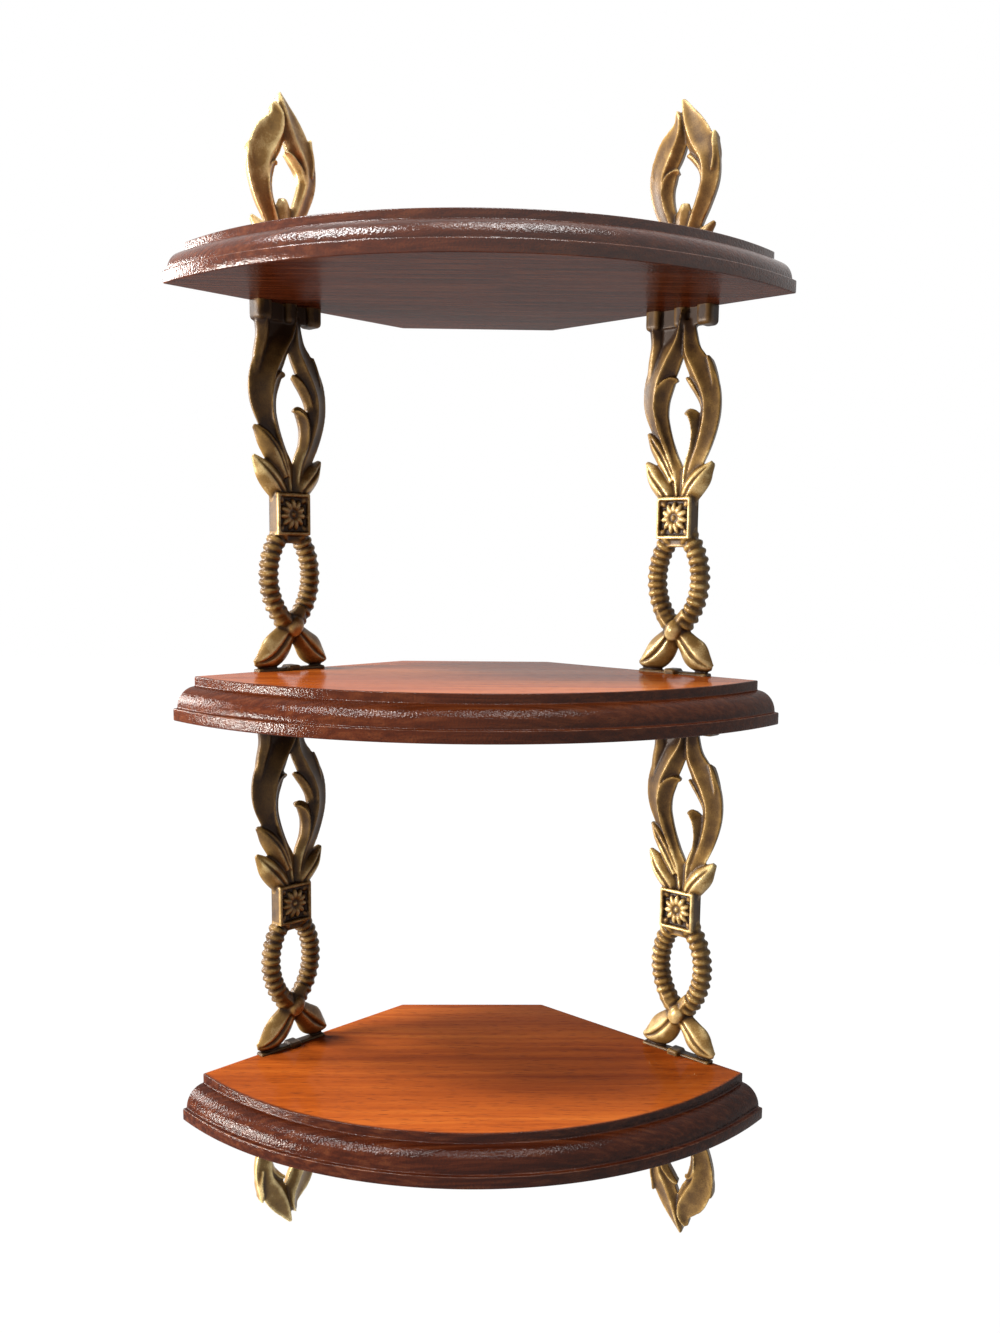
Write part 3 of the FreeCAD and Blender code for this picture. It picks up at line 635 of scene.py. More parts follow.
@dataclass(frozen=True)
class StudSteel:
    """Turned steel of the plain studs, with fine rings along Z.

    Attributes:
        pale, dull: Colours of the bright and of the dull rings.
        ring_scales: Noise scale along each axis.
        roughness: Roughness of the dull and of the bright rings.
        bump_strength, bump_depth: Strength of the rings' relief, and its depth in metres.
    """

    pale: Colour = (0.56, 0.56, 0.58)
    dull: Colour = (0.30, 0.30, 0.31)
    ring_scales: Triple = (40.0, 40.0, 2500.0)
    roughness: Pair = (0.5, 0.3)
    bump_strength: float = 0.3
    bump_depth: float = 0.0003

    def material(self) -> Material:
        """Build the finish.

        Returns:
            The studs' material.
        """
        tree = ShaderTree(Slot.STEEL.value)
        rings = tree.stretched_noise(tree.object_place(), self.ring_scales, detail=2.0)
        shader = tree.add("ShaderNodeBsdfPrincipled", {
            "Base Color": tree.ramp(rings, list(zip(NOISE_LIMITS, (self.dull, self.pale)))),
            "Roughness": tree.spread(rings, NOISE_LIMITS, self.roughness), "Metallic": 1.0,
            "Normal": tree.bump(rings, self.bump_strength, self.bump_depth)})
        return tree.finish(shader)


# Boards
@dataclass
class Board:
    """A quarter-round board with a cut-off back and a moulded front. Sizes in millimetres.

    Attributes:
        name: Node that the board stands for.
        back_half_width: Half width of the cut-off back, and its distance from the walls' corner.
        back_corner_radius: Rounding of the back corners.
        front_centre: Distance of the front arc's centre from the walls' corner.
        moulding_projection: How far the lower band stands out past the top edge.
        ovolo_radius: Radius of the moulding's round.
        band_height: Height of the square band under the round.
        arris: Rounding of the edges.
        rim: Width of the flat strip beside the moulding, where its real staining and painted shade end.
        stud_gap, stud_tip_gap: Gaps around a stud in its hole and past its tip.
        hole_sides: Sides of a stud's hole.
        keyhole_distance: Distance of a keyhole from the walls' corner.
        keyhole_travel: How far the board drops on its hanger.
        keyhole_head_radius: Radius of the keyhole's mouth and of the undercut.
        keyhole_neck_radius: Radius of the slot above the mouth.
        keyhole_lip: Thickness of the wood in front of the undercut.
        keyhole_depth: Depth of the undercut from the wall.
        mouth_points, slot_points, undercut_points: Points around the mouth, the slot's end and each end
            of the undercut.
        cut_past: How far a cutter runs out past the face that it enters.
        cut_overlap: How far the mouth's cutter runs into the undercut.
        front_steps, ovolo_steps: Flats along the front and around the moulding's round.
        corner_points: Points around a back corner.
        arris_segments: Flats around an eased edge.
        arris_angle, sharp_angle: Least angles, in degrees, of an edge that is eased and of one that is
            shaded sharp.
        has_keyholes: Whether the wall edges have hanging keyholes.
        stain: How dark the moulding is painted, from 0 to 1, as real staining together with painted shade.
        stain_fade: Where that darkening starts and is full, behind the moulding's top edge.
        underside_shade_fade: Heights at which the painted shade on the underside is full and gone.
        rub_and_glint_depth: How far down the top edge is painted pale, as rubbed wood and painted glint.
        rub_and_glint_width: How far in from an edge that pale paint reaches.
        band_rub_and_glint: Heights off the band's edge at which its pale paint is full and gone.
        polish: How much of the varnish's gloss is left on the flat faces.
        edge_polish: How much of it is left on the moulding.
    """

    name: str
    back_half_width: float = 44.8
    back_corner_radius: float = 3.0
    front_centre: float = 31.2
    moulding_projection: float = 13.3
    ovolo_radius: float = 10.9
    band_height: float = 6.5
    arris: float = 0.7
    rim: float = 2.0
    stud_gap: float = 0.05
    stud_tip_gap: float = 0.3
    hole_sides: int = 32
    keyhole_distance: float = 96.0
    keyhole_travel: float = 8.0
    keyhole_head_radius: float = 4.75
    keyhole_neck_radius: float = 2.4
    keyhole_lip: float = 3.5
    keyhole_depth: float = 9.5
    mouth_points: int = 29
    slot_points: int = 13
    undercut_points: int = 17
    cut_past: float = 1.0
    cut_overlap: float = 0.2
    front_steps: int = 120
    ovolo_steps: int = 14
    corner_points: int = 5
    arris_segments: int = 3
    arris_angle: float = 40.0
    sharp_angle: float = 35.0
    has_keyholes: bool = False
    stain: float = 1.0
    stain_fade: Pair = (1.5, 0.3)
    underside_shade_fade: Pair = (0.05, 0.4)
    rub_and_glint_depth: float = 1.2
    rub_and_glint_width: float = 1.0
    band_rub_and_glint: Pair = (0.2, 1.2)
    polish: float = 0.09
    edge_polish: float = 0.30

    def __post_init__(self) -> None:
        """Take the board's place from its node."""
        low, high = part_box(self.name)
        self.underside = low.z / MM
        self.thickness = (high.z - low.z) / MM
        self.corner_y = high.y / MM + self.back_half_width
        self.centre_y = self.corner_y - self.front_centre
        self.front_radius = self.centre_y - low.y / MM

    def profile(self) -> list[Pair]:
        """Section of the front edge from below.

        Returns:
            Places as (radius, height).
        """
        outer = self.front_radius
        inner = outer - self.moulding_projection
        section = [(outer - self.rim, 0.0), (outer, 0.0), (outer, self.band_height)]
        section += arc((inner, self.band_height), self.ovolo_radius, 0.0, math.pi / 2, self.ovolo_steps + 1)
        section += [(inner, self.thickness), (inner - self.rim, self.thickness)]
        return section

    def back_points(self) -> list[Pair]:
        """Plan of the back from the right wall to the left one, with its corners rounded.

        Returns:
            Places as (x, y).
        """
        radius = self.back_corner_radius
        reach = radius * math.tan(math.pi / 8)
        centre = (self.back_half_width - reach, self.corner_y - self.back_half_width - radius)
        right = arc(centre, radius, math.pi / 4, math.pi / 2, self.corner_points)
        return right + [(-across, along) for across, along in reversed(right)]

    def blank(self) -> Object:
        """The moulded board with square edges.

        Returns:
            The closed board.
        """
        verts: list[Triple] = []
        section = self.profile()
        columns = self.front_steps + 1
        for radius, height in section:
            right_end = math.asin(self.front_centre / (radius * math.sqrt(2))) - math.pi / 4
            row = arc((0.0, self.centre_y), radius, -math.pi - right_end, right_end, columns)
            verts += [(across, along, self.underside + height) for across, along in row]
        back = self.back_points()
        low_back = len(verts)
        verts += [(across, along, self.underside) for across, along in back]
        high_back = len(verts)
        verts += [(across, along, self.underside + self.thickness) for across, along in back]
        levels = len(section)
        top_row = (levels - 1) * columns
        faces = [tuple(range(top_row, top_row + columns)) + tuple(range(high_back, high_back + len(back))),
                 tuple(range(columns)) + tuple(range(low_back, low_back + len(back)))]
        for level in range(levels - 1):
            for step in range(self.front_steps):
                start = level * columns + step
                faces.append((start, start + 1, start + columns + 1, start + columns))
        for column, end in ((columns - 1, 0), (0, len(back) - 1)):
            edge = tuple(level * columns + column for level in range(levels))
            faces.append(edge + (high_back + end, low_back + end))
        for place in range(len(back) - 1):
            faces.append((low_back + place, low_back + place + 1, high_back + place + 1, high_back + place))
        mesh = bpy.data.meshes.new(self.name)
        mesh.from_pydata(verts, [], faces)
        turn_outwards(mesh)
        return new_object("%s_blank" % self.name, mesh)

    def stud_cutters(self) -> list[Object]:
        """Round cutters for the blind holes of the studs that end in this board.

        Returns:
            One cutter for each stud.
        """
        cutters = []
        top = self.underside + self.thickness
        for node in stud_names():
            low, high = (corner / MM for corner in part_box(node))
            if high.z < self.underside or low.z > top:
                continue
            centre = (low + high) / 2
            radius = (high.x - low.x) / 2 + self.stud_gap
            bottom = low.z - self.stud_tip_gap if low.z > self.underside else self.underside - self.cut_past
            ceiling = high.z + self.stud_tip_gap if high.z < top else top + self.cut_past
            outline = arc((centre.x, centre.y), radius, 0.0, 2 * math.pi, self.hole_sides + 1)[:-1]
            rings = np.array([[(*point, level) for point in outline] for level in (bottom, ceiling)])
            cutters.append(loft("stud_cutter", rings))
        return cutters

    def keyhole_cutters(self) -> list[Object]:
        """Cutters for the keyholes: the slotted mouth through the lip and the wider undercut behind it.

        Returns:
            Two cutters for each wall edge.
        """
        low = self.thickness / 2 - self.keyhole_travel / 2
        high = self.thickness / 2 + self.keyhole_travel / 2
        head = self.keyhole_head_radius
        neck = self.keyhole_neck_radius
        neck_turn = math.acos(neck / head)
        mouth = arc((0.0, low), head, neck_turn, -math.pi - neck_turn, self.mouth_points)
        mouth += arc((0.0, high), neck, math.pi, 0.0, self.slot_points)
        undercut = arc((0.0, low), head, -math.pi, 0.0, self.undercut_points)
        undercut += arc((0.0, high), head, 0.0, math.pi, self.undercut_points)
        cutters = []
        for side in Side:
            along = Vector((side.value, -1.0, 0.0)).normalized()
            inwards = Vector((-side.value, -1.0, 0.0)).normalized()
            middle = Vector((0.0, self.corner_y, self.underside)) + along * self.keyhole_distance
            for outline, start, end in ((mouth, -self.cut_past, self.keyhole_lip + self.cut_overlap),
                                        (undercut, self.keyhole_lip, self.keyhole_depth)):
                rings = np.array([[middle + along * across + inwards * depth + Vector((0.0, 0.0, height))
                                   for across, height in outline] for depth in (start, end)])
                cutters.append(loft("keyhole_cutter", rings))
        return cutters

    def build(self, material: Material) -> None:
        """Make the board, ease its edges, cut its holes and dress it.

        Args:
            material: The boards' finish.
        """
        blank = self.blank()
        easing = blank.modifiers.new("arrises", "BEVEL")
        easing.width = self.arris
        easing.segments = self.arris_segments
        easing.limit_method = "ANGLE"
        easing.angle_limit = math.radians(self.arris_angle)
        easing.use_clamp_overlap = False
        cutters = self.stud_cutters()
        if self.has_keyholes:
            cutters += self.keyhole_cutters()
        for cutter in cutters:
            cut = blank.modifiers.new("cut", "BOOLEAN")
            cut.object = cutter
            cut.operation = "DIFFERENCE"
            cut.solver = "EXACT"
        mesh = plain_mesh(blank)
        for cutter in cutters:
            discard(cutter)
        self.mark(mesh)
        mesh.transform(Matrix.Scale(MM, 4))
        mesh.shade_smooth()
        mesh.set_sharp_from_angle(angle=math.radians(self.sharp_angle))
        add_piece(new_object(self.name + "_board", mesh), self.name, material)

    def mark(self, mesh: Mesh) -> None:
        """Store how dark each point is painted, as real staining and painted shade, how pale its edge is
        painted, as rubbed wood and painted glint, and how much gloss it has left.

        Args:
            mesh: The board in millimetres.
        """
        points = vectors(mesh, "co")
        radius = np.hypot(points[:, 0], points[:, 1] - self.centre_y)
        height = points[:, 2] - self.underside
        inner = self.front_radius - self.moulding_projection
        # Painted shade on the underside, and on the moulding together with its real staining.
        under = 1.0 - smooth_step(height, *self.underside_shade_fade)
        start, full = self.stain_fade
        moulded = smooth_step(radius, inner - start, inner - full) * (1.0 - under)
        set_values(mesh, "stain", np.clip(moulded * self.stain + under, 0.0, 1.0))
        # Painted glint on the top and band edges, together with rubbed wood.
        top_edge = smooth_step(height, self.thickness - self.rub_and_glint_depth, self.thickness)
        top_edge *= smooth_step(radius, inner - self.rub_and_glint_width, inner)
        band_edge = smooth_step(radius, self.front_radius - self.rub_and_glint_width, self.front_radius)
        band_edge *= 1.0 - smooth_step(np.abs(height - self.band_height), *self.band_rub_and_glint)
        set_values(mesh, "arris", np.clip(top_edge + band_edge, 0.0, 1.0))
        set_values(mesh, "polish", self.polish + (self.edge_polish - self.polish) * moulded)


# Castings
class BeadTree(NodeTree):
    """Geometry nodes that set egg-shaped beads along an arc: a rope's ribs or a rosette's petals.

    Attributes:
        finish: Finish of the beads.
        sockets: The tree's inputs by name.
        INPUTS: Names and types of those inputs.
    """

    INPUTS = (("Count", "NodeSocketInt"), ("Centre", "NodeSocketVector"), ("Arc Radius", "NodeSocketFloat"),
              ("First Angle", "NodeSocketFloat"), ("Last Angle", "NodeSocketFloat"),
              ("Bead Size", "NodeSocketVector"), ("Finish", "NodeSocketMaterial"))

    def __init__(self, finish: Material) -> None:
        """Build the node tree.

        Args:
            finish: Finish of the beads.
        """
        super().__init__(bpy.data.node_groups.new("beads_on_arc", "GeometryNodeTree"))
        self.finish = finish
        self.sockets = {name: self.tree.interface.new_socket(name, in_out="INPUT", socket_type=kind)
                        for name, kind in self.INPUTS}
        self.tree.interface.new_socket("Geometry", in_out="OUTPUT", socket_type="NodeSocketGeometry")
        source = self.tree.nodes.new("NodeGroupInput").outputs
        line = self.add("GeometryNodeMeshLine", {"Count": source["Count"]})
        index = self.add("GeometryNodeInputIndex").outputs[0]
        last_index = self.math("MAXIMUM", self.math("SUBTRACT", source["Count"], 1.0), 1.0)
        sweep = self.math("SUBTRACT", source["Last Angle"], source["First Angle"])
        turned = self.math("MULTIPLY", sweep, self.math("DIVIDE", index, last_index))
        angle = self.math("ADD", source["First Angle"], turned)
        reach = [self.math("MULTIPLY", self.math(wave, angle), source["Arc Radius"])
                 for wave in ("COSINE", "SINE")]
        offset = self.add("ShaderNodeCombineXYZ", {"X": reach[0], "Z": reach[1]}).outputs[0]
        place = self.vector_math("ADD", source["Centre"], offset)
        moved = self.add("GeometryNodeSetPosition", {"Geometry": line.outputs[0], "Position": place})
        euler = self.add("ShaderNodeCombineXYZ", {"Y": self.math("MULTIPLY", angle, -1.0)}).outputs[0]
        turn = self.add("FunctionNodeEulerToRotation", {0: euler}).outputs[0]
        bead = self.add("GeometryNodeMeshUVSphere", {"Segments": 32, "Rings": 18, "Radius": 1.0})
        beads = self.add("GeometryNodeInstanceOnPoints", {
            "Points": moved.outputs[0], "Instance": bead.outputs[0], "Rotation": turn,
            "Scale": source["Bead Size"]})
        real = self.add("GeometryNodeRealizeInstances", {"Geometry": beads.outputs[0]})
        dressing = {"Geometry": real.outputs[0], "Material": source["Finish"]}
        dressed = self.add("GeometryNodeSetMaterial", dressing)
        self.add("NodeGroupOutput", {"Geometry": dressed.outputs[0]})

    def row(self, name: str, count: int, centre: Triple, size: Triple, radius: float = 0.0,
            angles: Pair = (0.0, 0.0)) -> Object:
        """Make one row of beads as a plain mesh.

        Args:
            name: Name of the object.
            count: Number of beads.
            centre: Centre of the arc.
            size: Half sizes of a bead along the arc's radius, off the wall and along the arc.
            radius: Radius of the arc.
            angles: First and last angle on the arc.

        Returns:
            The beads.
        """
        carrier = new_object(name, bpy.data.meshes.new(name))
        modifier = carrier.modifiers.new("beads", "NODES")
        modifier.node_group = self.tree
        values = {"Count": count, "Centre": centre, "Arc Radius": radius, "First Angle": angles[0],
                  "Last Angle": angles[1], "Bead Size": size, "Finish": self.finish}
        for key, value in values.items():
            modifier[self.sockets[key].identifier] = value
        return new_object(name, plain_mesh(carrier))


@dataclass(frozen=True)
class Leaf:
    """A blade or leaf carried along its spine, drawn with the wall on Y = 0. Sizes in millimetres.

    Attributes:
        spine: Places as (across, up, half width, relief from the wall).
        ridge: Place of the ridge, from -1 on the left edge to 1 on the right one, seen along the spine.
        edge: Relief of the leaf's thin edges.
        undercut: How far the leaf is drawn in behind its edges and its tip.
        hollow: Depth of the trough between ridge and edge, as a share of the rise to the ridge.
        crease: Depth of a groove along the ridge, as a share of the rise to the ridge.
        fullness: 1 for straight slopes up to the ridge, less for a rounder back.
        steps: Steps between two places of the spine.
        places: Points across the leaf.
        crease_width: Half width of the groove, as a share of the leaf's half width.
        least_rise: Least rise from the edges to the ridge.
        least_foot: Least half width on the wall, as a share of the leaf's half width.
        tip_stretch: Length over which the tip is drawn in behind.
    """

    spine: tuple[SpinePoint, ...]
    ridge: float = 0.0
    edge: float = 3.2
    undercut: float = 2.6
    hollow: float = 0.0
    crease: float = 0.0
    fullness: float = 0.9
    steps: int = 12
    places: int = 33
    crease_width: float = 0.14
    least_rise: float = 0.4
    least_foot: float = 0.35
    tip_stretch: float = 10.0

    def path(self) -> np.ndarray:
        """A smooth path through the spine's places.

        Returns:
            Rows of across, up, half width and relief.
        """
        points = np.array(self.spine)
        padded = np.vstack([2 * points[0] - points[1], points, 2 * points[-1] - points[-2]])
        rows = []
        for before, start, end, after in zip(padded, padded[1:], padded[2:], padded[3:]):
            for share in np.linspace(0.0, 1.0, self.steps, endpoint=False):
                rows.append(0.5 * (2 * start + (end - before) * share
                                   + (2 * before - 5 * start + 4 * end - after) * share ** 2
                                   + (3 * start - before - 3 * end + after) * share ** 3))
        rows.append(points[-1])
        path = np.array(rows)
        path[:, 2] = np.maximum(path[:, 2], points[:, 2].min())
        return path

    def section(self) -> tuple[np.ndarray, np.ndarray]:
        """The leaf's relief across its width.

        Returns:
            Places from -1 to 1, and how far each has risen from the edge to the ridge.
        """
        across = np.linspace(-1.0, 1.0, self.places)
        share = np.where(across < self.ridge, (across + 1) / (self.ridge + 1),
                         (1 - across) / (1 - self.ridge))
        rise = share ** self.fullness - self.hollow * np.sin(math.pi * share)
        rise -= self.crease * np.exp(-((across - self.ridge) / self.crease_width) ** 2)
        return across, rise

    def solid(self, name: str) -> Object:
        """The leaf as a closed solid that runs past the wall.

        Args:
            name: Name of the object.

        Returns:
            The solid.
        """
        path = self.path()
        run = np.gradient(path[:, :2], axis=0)
        pace = np.linalg.norm(run, axis=1)
        heading = run / pace[:, None]
        to_tip = np.cumsum(pace[::-1])[::-1]
        drawn_back = self.undercut * (1.0 - smooth_step(to_tip, 0.0, self.tip_stretch))
        square = np.stack([heading[:, 1], -heading[:, 0]], axis=1)
        foot = np.maximum(1.0 - self.undercut / path[:, 2], self.least_foot)
        across, rise = self.section()
        reach = np.concatenate([[-1.0], across, [1.0]])[None, :] * np.ones((len(path), 1))
        reach[:, 0] = -foot
        reach[:, -1] = foot
        rings = np.empty((*reach.shape, 3))
        for axis, column in ((0, 0), (2, 1)):
            rings[:, :, axis] = path[:, column, None] + square[:, column, None] * path[:, 2, None] * reach
            rings[:, (0, -1), axis] -= (heading[:, column] * drawn_back)[:, None]
        height = np.maximum(path[:, 3] - self.edge, self.least_rise)
        rings[:, 1:-1, 1] = -(self.edge + height[:, None] * rise[None, :])
        rings[:, (0, -1), 1] = PAST_WALL
        return loft(name, rings)


@dataclass(frozen=True)
class ReliefTone:
    """One scale of relief tone: proud places are painted brighter, as rubbed gilding and painted highlight,
    sunk ones darker, as patina and painted shade. Millimetres.

    Attributes:
        rounds: Rounds of smoothing.
        proud: Height over the smoothed surface at which the tone levels out.
        weight: How much brighter a proud place is.
    """

    rounds: int
    proud: float
    weight: float


@dataclass(frozen=True)
class Stretch:
    """A stretch of a casting's height painted darker or brighter. Millimetres.

    Attributes:
        darker: How much darker its gilding is painted, below 0 where it is painted brighter.
        rise: Heights at which it starts and is full, or nothing if it starts at the foot.
        fall: Heights at which it is still full and gone, or nothing if it ends at the top.
    """

    darker: float
    rise: Pair | None = None
    fall: Pair | None = None

    def loss(self, height: np.ndarray) -> np.ndarray:
        """Work out the loss of brightness.

        Args:
            height: Heights of places on the casting.

        Returns:
            The loss at each place.
        """
        share = np.ones_like(height)
        if self.rise:
            share *= smooth_step(height, *self.rise)
        if self.fall:
            share *= 1.0 - smooth_step(height, *self.fall)
        return self.darker * share


@dataclass(eq=False)
class Casting:
    """A pierced casting with a flat back, wall on Y = 0 and foot on Z = 0. Sizes in millimetres.

    Attributes:
        height: From the foot to the top.
        grain: Size of the smallest detail kept.
        smoothing: Share of the way that a point of the cast surface is smoothed in a round.
        smoothing_rounds: Rounds of that smoothing.
        trim_reach: Distance from a trimming plane at which a point counts as on it.
        weld_reach: Distance at which points are merged after trimming.
        sharp_angle: Least angle of an edge that is shaded sharp, in degrees.
        gilding: How bright the gilding is on plain faces, from 0 to 1.
        wall_shade: How much darker it is painted near the wall, as painted shade in the deep recesses.
        wall_fade: Distances from the wall at which that is full and gone.
        back_shade: How much darker still it is painted on the flat back, as painted shade.
        back_fade: Distances from the wall at which that is full and gone.
        relief_step: Share of the way that a point is smoothed in a round when the relief tones are found.
        RELIEF_TONES: Fine and broad relief tones: rubbed gilding and patina, with painted highlight and
            painted shade.
        LIGHT_AND_SHADE_BANDS: Stretches painted darker or brighter than the rest, most of them painted light
            and shade.
    """

    height: float = 0.0
    grain: float = 0.5
    smoothing: float = 0.5
    smoothing_rounds: int = 3
    trim_reach: float = 1e-4
    weld_reach: float = 0.01
    sharp_angle: float = 55.0
    gilding: float = 0.50
    wall_shade: float = 0.22
    wall_fade: Pair = (1.0, 6.0)
    back_shade: float = 0.16
    back_fade: Pair = (0.0, 0.8)
    relief_step: float = 0.7

    # Relief tones: rubbed gilding and patina, with painted highlight on proud places and painted shade in
    # sunk ones.
    RELIEF_TONES = (ReliefTone(10, 0.08, 0.08), ReliefTone(60, 0.45, 0.18))
    LIGHT_AND_SHADE_BANDS: ClassVar[dict[str, Stretch]] = {}

    def ornament(self, beads: BeadTree) -> list[Object]:
        """The casting's pieces before they run together."""
        raise NotImplementedError

    def leaves(self, table: dict[str, Leaf]) -> list[Object]:
        """The solids of named leaves."""
        return [leaf.solid(name) for name, leaf in table.items()]

    def mesh(self, beads: BeadTree) -> Mesh:
        """Run the ornament together as one cast surface, trim its flat faces and mark its patina, rubbed
        gilding and painted light and shade.

        Args:
            beads: Node tree of ribs and petals.

        Returns:
            The casting in millimetres.
        """
        blank = joined("casting_blank", self.ornament(beads))
        merge = blank.modifiers.new("cast", "REMESH")
        merge.mode = "VOXEL"
        merge.voxel_size = self.grain
        mesh = plain_mesh(blank)
        points = relaxed(mesh, vectors(mesh, "co"), self.smoothing, self.smoothing_rounds)
        mesh.vertices.foreach_set("co", points.ravel())
        self.trim(mesh)
        self.mark(mesh)
        mesh.shade_smooth()
        mesh.set_sharp_from_angle(angle=math.radians(self.sharp_angle))
        return mesh

    def trim(self, mesh: Mesh) -> None:
        """Cut the back, foot and top flat.

        Args:
            mesh: The casting, running past those faces.
        """
        back = ((0, 0, 0), (0, 1, 0))
        foot = ((0, 0, 0), (0, 0, -1))
        top = ((0, 0, self.height), (0, 0, 1))
        work = bmesh.new()
        work.from_mesh(mesh)
        for place, outwards in (back, foot, top):
            geometry = work.verts[:] + work.edges[:] + work.faces[:]
            cut = bmesh.ops.bisect_plane(work, geom=geometry, dist=self.trim_reach, plane_co=place,
                                         plane_no=outwards, clear_outer=True)
            rim = [item for item in cut["geom_cut"] if isinstance(item, bmesh.types.BMEdge)]
            if rim:
                bmesh.ops.triangle_fill(work, edges=rim, use_beauty=False, use_dissolve=False,
                                        normal=outwards)
        bmesh.ops.remove_doubles(work, verts=work.verts, dist=self.weld_reach)
        bmesh.ops.recalc_face_normals(work, faces=work.faces)
        work.to_mesh(mesh)
        work.free()

    def mark(self, mesh: Mesh) -> None:
        """Store how bright the gilding is painted at each point: rubbed gilding and patina, with painted
        highlight, painted light and painted shade.

        Args:
            mesh: The trimmed casting.
        """
        points = vectors(mesh, "co")
        normals = vectors(mesh, "normal")
        wear_and_shading = self.gilding - self.darkening(points)
        # Painted highlight on proud places and painted shade in sunk ones, over rubbed gilding and patina.
        for relief_tone in self.RELIEF_TONES:
            smoothed = relaxed(mesh, points, self.relief_step, relief_tone.rounds)
            height = np.sum((points - smoothed) * normals, axis=1)
            wear_and_shading += relief_tone.weight * np.tanh(height / relief_tone.proud)
        set_values(mesh, "wear_and_shading", np.clip(wear_and_shading, 0.0, 1.0))

    def darkening(self, points: np.ndarray) -> np.ndarray:
        """How much darker the gilding is painted: painted shade near the wall, most of all on the flat back,
        and the darkening of each stretch.

        Args:
            points: Places on the casting.

        Returns:
            The loss of brightness at each place.
        """
        depth = -points[:, 1]
        # Painted shade near the wall and on the flat back.
        near_wall = 1.0 - smooth_step(depth, *self.wall_fade)
        at_back = 1.0 - smooth_step(depth, *self.back_fade)
        stretches = sum(stretch.loss(points[:, 2]) for stretch in self.LIGHT_AND_SHADE_BANDS.values())
        return self.wall_shade * near_wall + self.back_shade * at_back + stretches

    def place(self, mesh: Mesh, node: str, side: Side, spot: Vector, hanging: bool, tone: float,
              material: Material) -> None:
        """Set one copy of the casting against its wall.

        Args:
            mesh: The casting in millimetres.
            node: Node that the copy stands for.
            side: Wall that carries it.
            spot: Middle of its foot, on the wall.
            hanging: Whether it is turned half round to hang down.
            tone: Painted light and shade of this copy: how much brighter its gilding is painted than its
                kind's.
            material: Finish of the casting.
        """
        turn = Matrix.Rotation(-side.value * math.pi / 4, 4, "Z")
        if hanging:
            turn = turn @ Matrix.Rotation(math.pi, 4, "Y")
        copy = mesh.copy()
        copy.transform(Matrix.Scale(MM, 4) @ Matrix.Translation(spot) @ turn)
        # Painted light and shade of this copy.
        wear_and_shading = np.empty(len(copy.vertices))
        copy.attributes["wear_and_shading"].data.foreach_get("value", wear_and_shading)
        copy.attributes["wear_and_shading"].data.foreach_set("value", np.clip(wear_and_shading + tone, 0.0, 1.0))
        add_piece(new_object(node + "_casting", copy), node, material)


@dataclass(frozen=True)
class FootPlate:
    """The upright's foot: a thin plate with a boss around the stud. Sizes in millimetres.

    Attributes:
        half_length, depth, height, rounding: Sizes of the plate.
        boss_half_length, boss_depth, boss_height, boss_rounding: Sizes of the boss.
    """

    half_length: float = 23.0
    depth: float = 5.4
    height: float = 1.5
    rounding: float = 0.5
    boss_half_length: float = 3.6
    boss_depth: float = 8.0
    boss_height: float = 3.0
    boss_rounding: float = 0.8

    def solids(self) -> list[Object]:
        """The plate and its boss.

        Returns:
            Two solids that run past the wall and the board.
        """
        boss = self.boss_half_length
        plate = self.half_length
        return [block("base_plate", (-plate, -self.depth, -PAST_WALL), (plate, PAST_WALL, self.height),
                      self.rounding),
                block("base_boss", (-boss, -self.boss_depth, -PAST_WALL), (boss, PAST_WALL, self.boss_height),
                      self.boss_rounding)]


@dataclass(frozen=True)
class Flange:
    """The upright's head: three rounded lugs on a bar, and a web beside the flame. Sizes in millimetres.

    Attributes:
        ends: Left and right end.
        height, depth, rounding: Sizes of the lugs.
        lug_length: Length of the outer lugs.
        boss_half_length: Half length of the lug around the stud.
        bar_recess: How far the bar lies back behind the lugs.
        bar_inset: How far the bar ends inside the outer lugs.
        bar_step: How far the bar's lower edge lies above the lugs'.
        web_depth, web_height: Sizes of the web.
        web_inset: Distance of the web from the flange's left end.
    """

    ends: Pair = (-22.2, 20.2)
    height: float = 10.2
    depth: float = 9.0
    rounding: float = 2.4
    lug_length: float = 9.0
    boss_half_length: float = 3.6
    bar_recess: float = 4.0
    bar_inset: float = 2.0
    bar_step: float = 1.0
    web_depth: float = 4.0
    web_height: float = 17.0
    web_inset: float = 4.0

    def solids(self, board: float) -> list[Object]:
        """The bar, the web and the lugs.

        Args:
            board: Height of the board's underside.

        Returns:
            Solids that run past the wall and the board.
        """
        left, right = self.ends
        low = board - self.height
        top = board + PAST_WALL
        bar_front = self.bar_recess - self.depth
        solids = [block("flange_bar", (left + self.bar_inset, bar_front, low + self.bar_step),
                        (right - self.bar_inset, PAST_WALL, top)),
                  block("web", (left + self.web_inset, -self.web_depth, board - self.web_height),
                        (0.0, PAST_WALL, top))]
        for start, end in ((left, left + self.lug_length), (-self.boss_half_length, self.boss_half_length),
                           (right - self.lug_length, right)):
            solids.append(block("lug", (start, -self.depth, low),
                                (end, PAST_WALL + self.rounding, top + self.rounding), self.rounding))
        return solids


